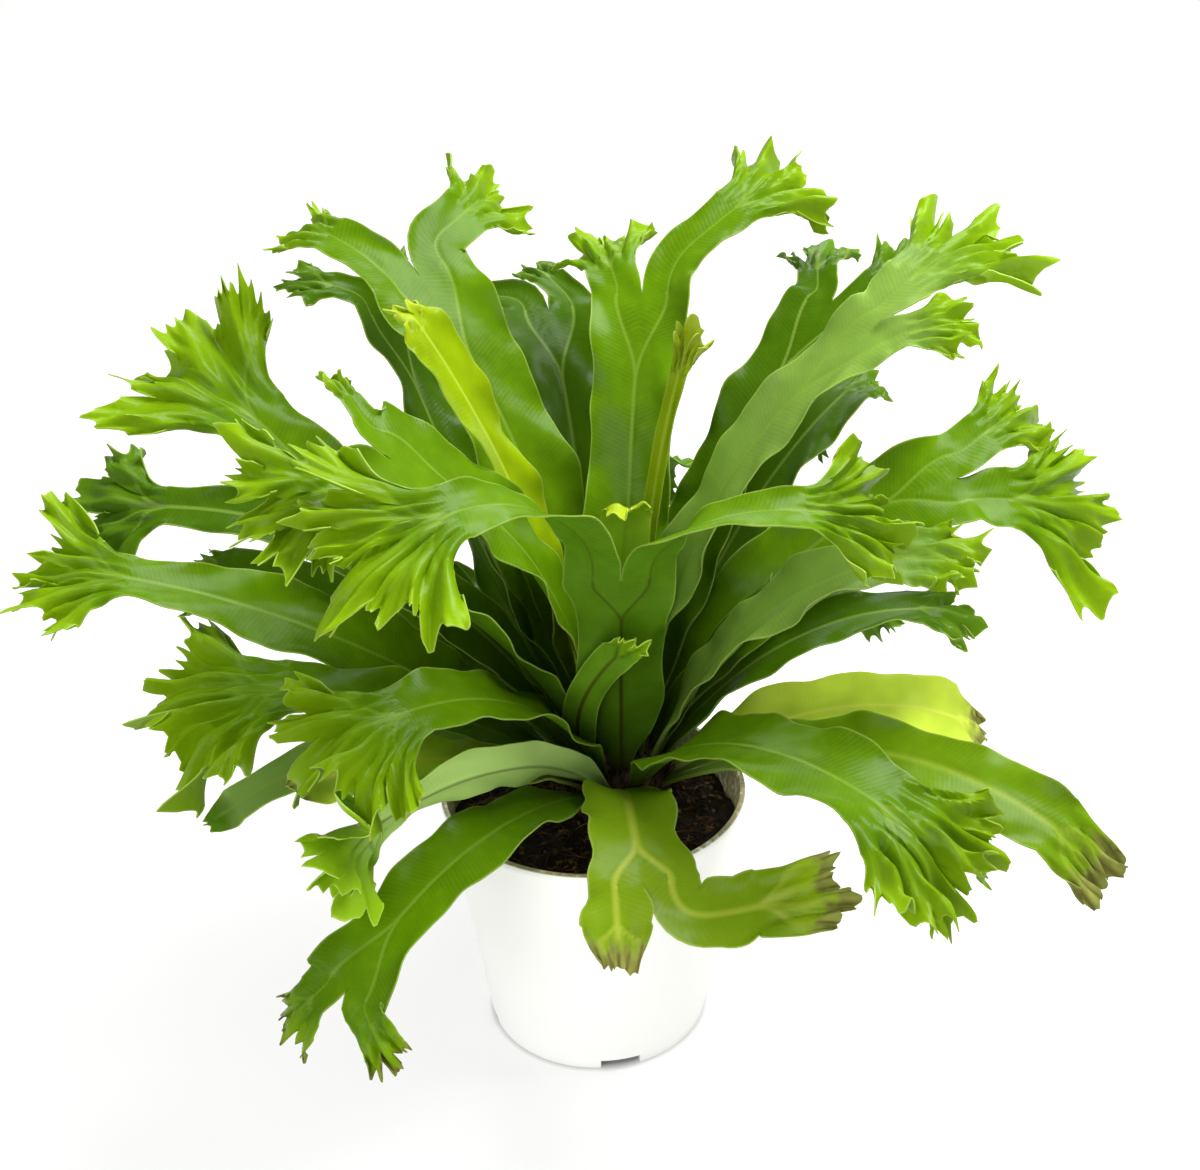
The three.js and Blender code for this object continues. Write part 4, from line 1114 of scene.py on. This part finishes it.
def box_at(name, heading, low, high):
    """A box from low to high, turned to a heading, for cutting a slot."""
    corners = [(x, y, z) for x in (low[0], high[0]) for y in (low[1], high[1])
               for z in (low[2], high[2])]
    faces = [(0, 1, 3, 2), (4, 6, 7, 5), (0, 4, 5, 1), (2, 3, 7, 6), (0, 2, 6, 4), (1, 5, 7, 3)]
    mesh = mesh_of(name, corners, faces)
    mesh.transform(Matrix.Rotation(math.radians(heading), 4, "Z"))
    return shown(name, mesh)


def cut(piece, cutters):
    """Takes the cutters out of a piece and leaves a plain mesh."""
    for cutter in cutters:
        modifier = piece.modifiers.new(cutter.name, "BOOLEAN")
        modifier.object = cutter
        modifier.operation = "DIFFERENCE"
        modifier.solver = "EXACT"
    graph = bpy.context.evaluated_depsgraph_get()
    mesh = bpy.data.meshes.new_from_object(piece.evaluated_get(graph))
    piece.modifiers.clear()
    piece.data = mesh
    for cutter in cutters:
        bpy.data.objects.remove(cutter)


class FERN_OT_pot(bpy.types.Operator):
    """Makes the white pot with its bead, drain holes and foot slots"""
    bl_idname = "fern.pot"
    bl_label = "Pot"

    def execute(self, context):
        wall = context.scene.fern_pot.wall / MM
        bead_foot = POT_HEIGHT - BEAD_HEIGHT
        inner_rim = RIM_RADIUS - BEAD - wall
        # Up the outside from the middle of the foot, over the bead and down the inside.
        profile = [(0, 0), (CENTRE_FOOT, 0), (CENTRE_FOOT, RECESS), (FOOT_RADIUS - FOOT_RING, RECESS),
                   (FOOT_RADIUS - FOOT_RING, 0), (FOOT_RADIUS - 1.1, 0), (FOOT_RADIUS - FOOT_BEVEL, 0.25),
                   (FOOT_RADIUS, 1), (outer_radius(SLOT_HEIGHT + 1), SLOT_HEIGHT + 1),
                   (outer_radius(SLOT_HEIGHT + 3), SLOT_HEIGHT + 3), (outer_radius(bead_foot), bead_foot),
                   (RIM_RADIUS - 0.2, bead_foot + BEAD - 0.2), (RIM_RADIUS, bead_foot + BEAD),
                   (RIM_RADIUS, POT_HEIGHT - BEAD), (RIM_RADIUS - RIM_ROUNDING, POT_HEIGHT - RIM_ROUNDING),
                   (RIM_RADIUS - BEAD, POT_HEIGHT), (inner_rim + LIP_ROUNDING, POT_HEIGHT),
                   (inner_rim, POT_HEIGHT - LIP_ROUNDING),
                   (outer_radius(RECESS + FLOOR) - wall, RECESS + FLOOR),
                   (CENTRE_FOOT - wall, RECESS + FLOOR), (CENTRE_FOOT - wall, FLOOR), (0, FLOOR)]
        piece = shown("pot_fine", mesh_of("pot_fine", *lathe(profile, POT_SIDES)))
        cutters = [box_at(f"slot_{i}", FRONT_SLOT + 360 / SLOTS * i,
                          (FOOT_RADIUS / 2, -SLOT_WIDTH / 2, -SLOT_HEIGHT),
                          (FOOT_RADIUS * 1.5, SLOT_WIDTH / 2, SLOT_HEIGHT)) for i in range(SLOTS)]
        for i in range(DRAINS):
            hole = lathe([(0, RECESS - 1), (DRAIN_RADIUS, RECESS - 1),
                          (DRAIN_RADIUS, RECESS + FLOOR + 1), (0, RECESS + FLOOR + 1)], DRAIN_SIDES)
            mesh = mesh_of(f"drain_{i}", *hole)
            mesh.transform(Matrix.Translation((DRAIN_CIRCLE * MM, 0, 0)))
            mesh.transform(Matrix.Rotation(2 * math.pi * i / DRAINS, 4, "Z"))
            cutters.append(shown(f"drain_{i}", mesh))
        cut(piece, cutters)
        rounded(piece.data, 40)
        piece.data.materials.clear()
        piece.data.materials.append(pot_material())
        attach(piece, "root")
        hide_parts("pot")
        return {"FINISHED"}


def soil_level(x, y):
    """The uneven level of the soil, as in the solid."""
    humps = 1.6 * math.sin(x / 9 + 1) * math.cos(y / 7) + 1.2 * math.sin(x / 4.1 - y / 5.3)
    from_crown = math.hypot(x - CROWN_X, y - CROWN_Y)
    return SOIL_TOP + humps + 3 * math.exp(-(from_crown / 30) ** 2)


class FERN_OT_soil(bpy.types.Operator):
    """Makes the crumbly soil and the chips and fibres on it"""
    bl_idname = "fern.soil"
    bl_label = "Soil"

    def execute(self, context):
        s = context.scene.fern_soil
        wall = context.scene.fern_pot.wall / MM
        # The soil's body keeps clear of the pot. Its edge lies lower than the rest of its
        # top, and runs into the wall where it dips.
        foot = RECESS + FLOOR + 0.3
        shoulder = SOIL_TOP - 4
        rim = outer_radius(SOIL_TOP) - wall - SOIL_GAP
        around = [2 * math.pi * i / SOIL_SIDES for i in range(SOIL_SIDES)]
        points = [(0, 0, foot)]
        sides = [(outer_radius(foot) - wall - 1.3, foot),
                 (outer_radius(shoulder) - wall - 2 * SOIL_GAP, shoulder)]
        for r, z in sides:
            points += [(r * math.cos(a), r * math.sin(a), z) for a in around]
        crumb = s.roughness / MM
        for k in range(SOIL_RINGS):
            r = rim * (1 - k / SOIL_RINGS)
            for a in around:
                x, y = r * math.cos(a), r * math.sin(a)
                rough = noise.fractal(Vector((x / 6, y / 6, 0.3)), 0.9, 2.2, 4)
                points.append((x, y, soil_level(x, y) + crumb * rough - 1.2 * (k == 0)))
        points.append((0, 0, soil_level(0, 0)))
        triangles = skin(SOIL_SIDES, len(sides) + SOIL_RINGS)
        piece = shown("soil_fine", mesh_of("soil_fine", points, triangles))
        piece.data.shade_smooth()
        dark = tuple(s.soil_colour)
        piece.data.materials.append(earth_material("moist_peat_and_coir", dark, linear("#2e2013"), 700))
        # Litter of bark and coir fibre, as dry as the top of the pot.
        bark = earth_material("bark_and_coir_litter", linear("#1e130a"), linear("#84603a"), 160)
        litter = shown("soil_litter", grown(litter_tree(), piece, {
            "Chips": 60000.0, "Fibres": 45000.0, "Chip Length": s.chip_length,
            "Fibre Length": s.fibre_length, "Seed": s.seed, "Material": bark}))
        for made in (piece, litter):
            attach(made, "root")
        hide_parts("soil")
        return {"FINISHED"}


class FERN_OT_crown(bpy.types.Operator):
    """Makes the short scaly rootstock that the fronds stand on"""
    bl_idname = "fern.crown"
    bl_label = "Crown"

    def execute(self, context):
        s = context.scene.fern_soil
        profile = [(0, CROWN_FOOT), (CROWN_RADIUS - 6, CROWN_FOOT), (CROWN_RADIUS, CROWN_SHOULDER)]
        for k in range(CROWN_RINGS):
            a = math.pi / 2 * k / CROWN_RINGS
            profile.append((CROWN_RADIUS * math.cos(a), CROWN_MIDDLE + CROWN_HEIGHT * math.sin(a)))
        profile.append((0, CROWN_MIDDLE + CROWN_HEIGHT))
        points, triangles = lathe(profile, CROWN_SIDES)
        points = [(x + CROWN_X, y + CROWN_Y, z) for x, y, z in points]
        piece = shown("crown_fine", mesh_of("crown_fine", points, triangles))
        piece.data.shade_smooth()
        # The rootstock and its papery scales: dark chestnut brown, dull.
        brown = earth_material("scaly_fern_rootstock", linear("#1a0f08"), linear("#43301c"), 300)
        piece.data.materials.append(brown)
        scales = shown("crown_scales", grown(scale_tree(), piece, {
            "Density": 130000.0, "Length": s.scale_length, "Seed": s.seed, "Material": brown}))
        for made in (piece, scales):
            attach(made, "root")
        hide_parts("crown")
        return {"FINISHED"}


class FERN_OT_fronds(bpy.types.Operator):
    """Makes every frond with its ribs, crests and teeth"""
    bl_idname = "fern.fronds"
    bl_label = "Fronds"

    def execute(self, context):
        materials = leaf_materials()
        for name, spec in FRONDS.items():
            points, triangles, facts = blade(name, spec)
            for key in ("tone_and_painted_light", "pale", "gold"):
                facts[key] = np.full(len(points), spec[key])
            mesh = mesh_of(f"{name}_fine", points, triangles, facts)
            rounded(mesh, 55)
            slot = spec["look"]
            mesh.materials.append(materials[slot])
            piece = shown(f"{name}_fine", mesh)
            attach(piece, "root")
            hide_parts(f"frond_{name}")
        return {"FINISHED"}


class FERN_OT_stage(bpy.types.Operator):
    """Makes the white floor, the soft studio light and the camera"""
    bl_idname = "fern.stage"
    bl_label = "Stage"

    def execute(self, context):
        s = context.scene.fern_stage
        half = s.floor_size / 2 / MM
        corners = [(-half, -half, 0), (half, -half, 0), (half, half, 0), (-half, half, 0)]
        floor = shown("studio_floor", mesh_of("studio_floor", corners, [(0, 1, 2), (0, 2, 3)]))
        # Opal acrylic sheet that glows from below: even white, with only a faint shadow on it. Its glow
        # fades out in a narrow ring at the pot's foot and is nothing under the pot, which is painted shade:
        # a thin contact shadow round the foot and the dark inside of the foot slots.
        material, tree = fresh_material("opal_floor_with_painted_foot_shade")
        place = add(tree, "ShaderNodeTexCoord").outputs["Object"]
        out = add(tree, "ShaderNodeVectorMath", {0: place}, operation="LENGTH").outputs["Value"]
        glow_with_painted_foot_shade = add(tree, "ShaderNodeMapRange", {"Value": out, "From Min": (FOOT_RADIUS - 3) * MM,
                                               "From Max": (FOOT_RADIUS + 2) * MM,
                                               "To Max": s.floor_glow}).outputs[0]
        surface = add(tree, "ShaderNodeBsdfPrincipled", {
            "Base Color": linear("#a0a09e"), "Roughness": 0.7, "Specular IOR Level": 0.1,
            "Emission Color": (1, 1, 1, 1), "Emission Strength": glow_with_painted_foot_shade}).outputs[0]
        add(tree, "ShaderNodeOutputMaterial", {"Surface": surface})
        floor.data.materials.append(material)

        world = bpy.data.worlds.new("white_surround")
        world.use_nodes = True
        background = world.node_tree.nodes["Background"]
        background.inputs["Color"].default_value = (1, 1, 1, 1)
        background.inputs["Strength"].default_value = s.world_strength
        context.scene.world = world

        # Softboxes: place, side and share of the key light's power.
        for name, place, size, share in (("backdrop", (0.1, 2.1, 1.7), 1.6, 0.9),
                                         ("key", (0.55, 0.15, 1.25), 0.8, 1.0),
                                         ("front_fill", (-0.7, -1.3, 0.9), 1.1, 0.5)):
            light = bpy.data.lights.new(name, "AREA")
            light.size = size
            light.energy = s.key_power * share
            lamp = bpy.data.objects.new(name, light)
            lamp.location = place
            lamp.rotation_euler = (LIGHTS_AIM - Vector(place)).to_track_quat("-Z", "Y").to_euler()
            context.scene.collection.objects.link(lamp)

        climb, roll = math.radians(CAMERA_ABOVE), math.radians(CAMERA_ROLL)
        forward = Vector((0, math.cos(climb), -math.sin(climb)))
        right = Vector((1, 0, 0))
        up = right.cross(forward)
        side = right * math.cos(roll) + up * math.sin(roll)
        top = up * math.cos(roll) - right * math.sin(roll)
        lens = bpy.data.cameras.new("camera")
        lens.lens = 60
        lens.sensor_width = 36
        lens.sensor_fit = "HORIZONTAL"
        camera = bpy.data.objects.new("camera", lens)
        turned = Matrix((side, top, -forward)).transposed().to_4x4()
        camera.matrix_world = Matrix.Translation(CAMERA_AIM - forward * s.distance) @ turned
        context.scene.collection.objects.link(camera)
        context.scene.camera = camera
        context.scene.view_settings.view_transform = "Standard"
        return {"FINISHED"}


class FERN_PT_panel(bpy.types.Panel):
    """Lists the settings and the pieces of the fern"""
    bl_idname = "FERN_PT_panel"
    bl_label = "Potted Fern"
    bl_space_type = "VIEW_3D"
    bl_region_type = "UI"
    bl_category = "Fern"

    def draw(self, context):
        for group, operator in (("fern_pot", "fern.pot"), ("fern_soil", "fern.soil"),
                                ("fern_fronds", "fern.fronds"), ("fern_stage", "fern.stage")):
            box = self.layout.box()
            settings = getattr(context.scene, group)
            for key in settings.__annotations__:
                box.prop(settings, key)
            box.operator(operator)
        self.layout.operator("fern.crown")


GROUPS = {"fern_fronds": FernFrondSettings, "fern_pot": FernPotSettings,
          "fern_soil": FernSoilSettings, "fern_stage": FernStageSettings}
OPERATORS = (FERN_OT_pot, FERN_OT_soil, FERN_OT_crown, FERN_OT_fronds, FERN_OT_stage)


def register():
    for cls in (*GROUPS.values(), *OPERATORS, FERN_PT_panel):
        bpy.utils.register_class(cls)
    for key, cls in GROUPS.items():
        setattr(bpy.types.Scene, key, PointerProperty(type=cls))


def unregister():
    for key in GROUPS:
        delattr(bpy.types.Scene, key)
    for cls in (FERN_PT_panel, *reversed(OPERATORS), *reversed(list(GROUPS.values()))):
        bpy.utils.unregister_class(cls)


def main():
    register()
    bpy.ops.fern.pot()
    bpy.ops.fern.soil()
    bpy.ops.fern.crown()
    bpy.ops.fern.fronds()
    bpy.ops.fern.stage()


if __name__ == "__main__":
    main()
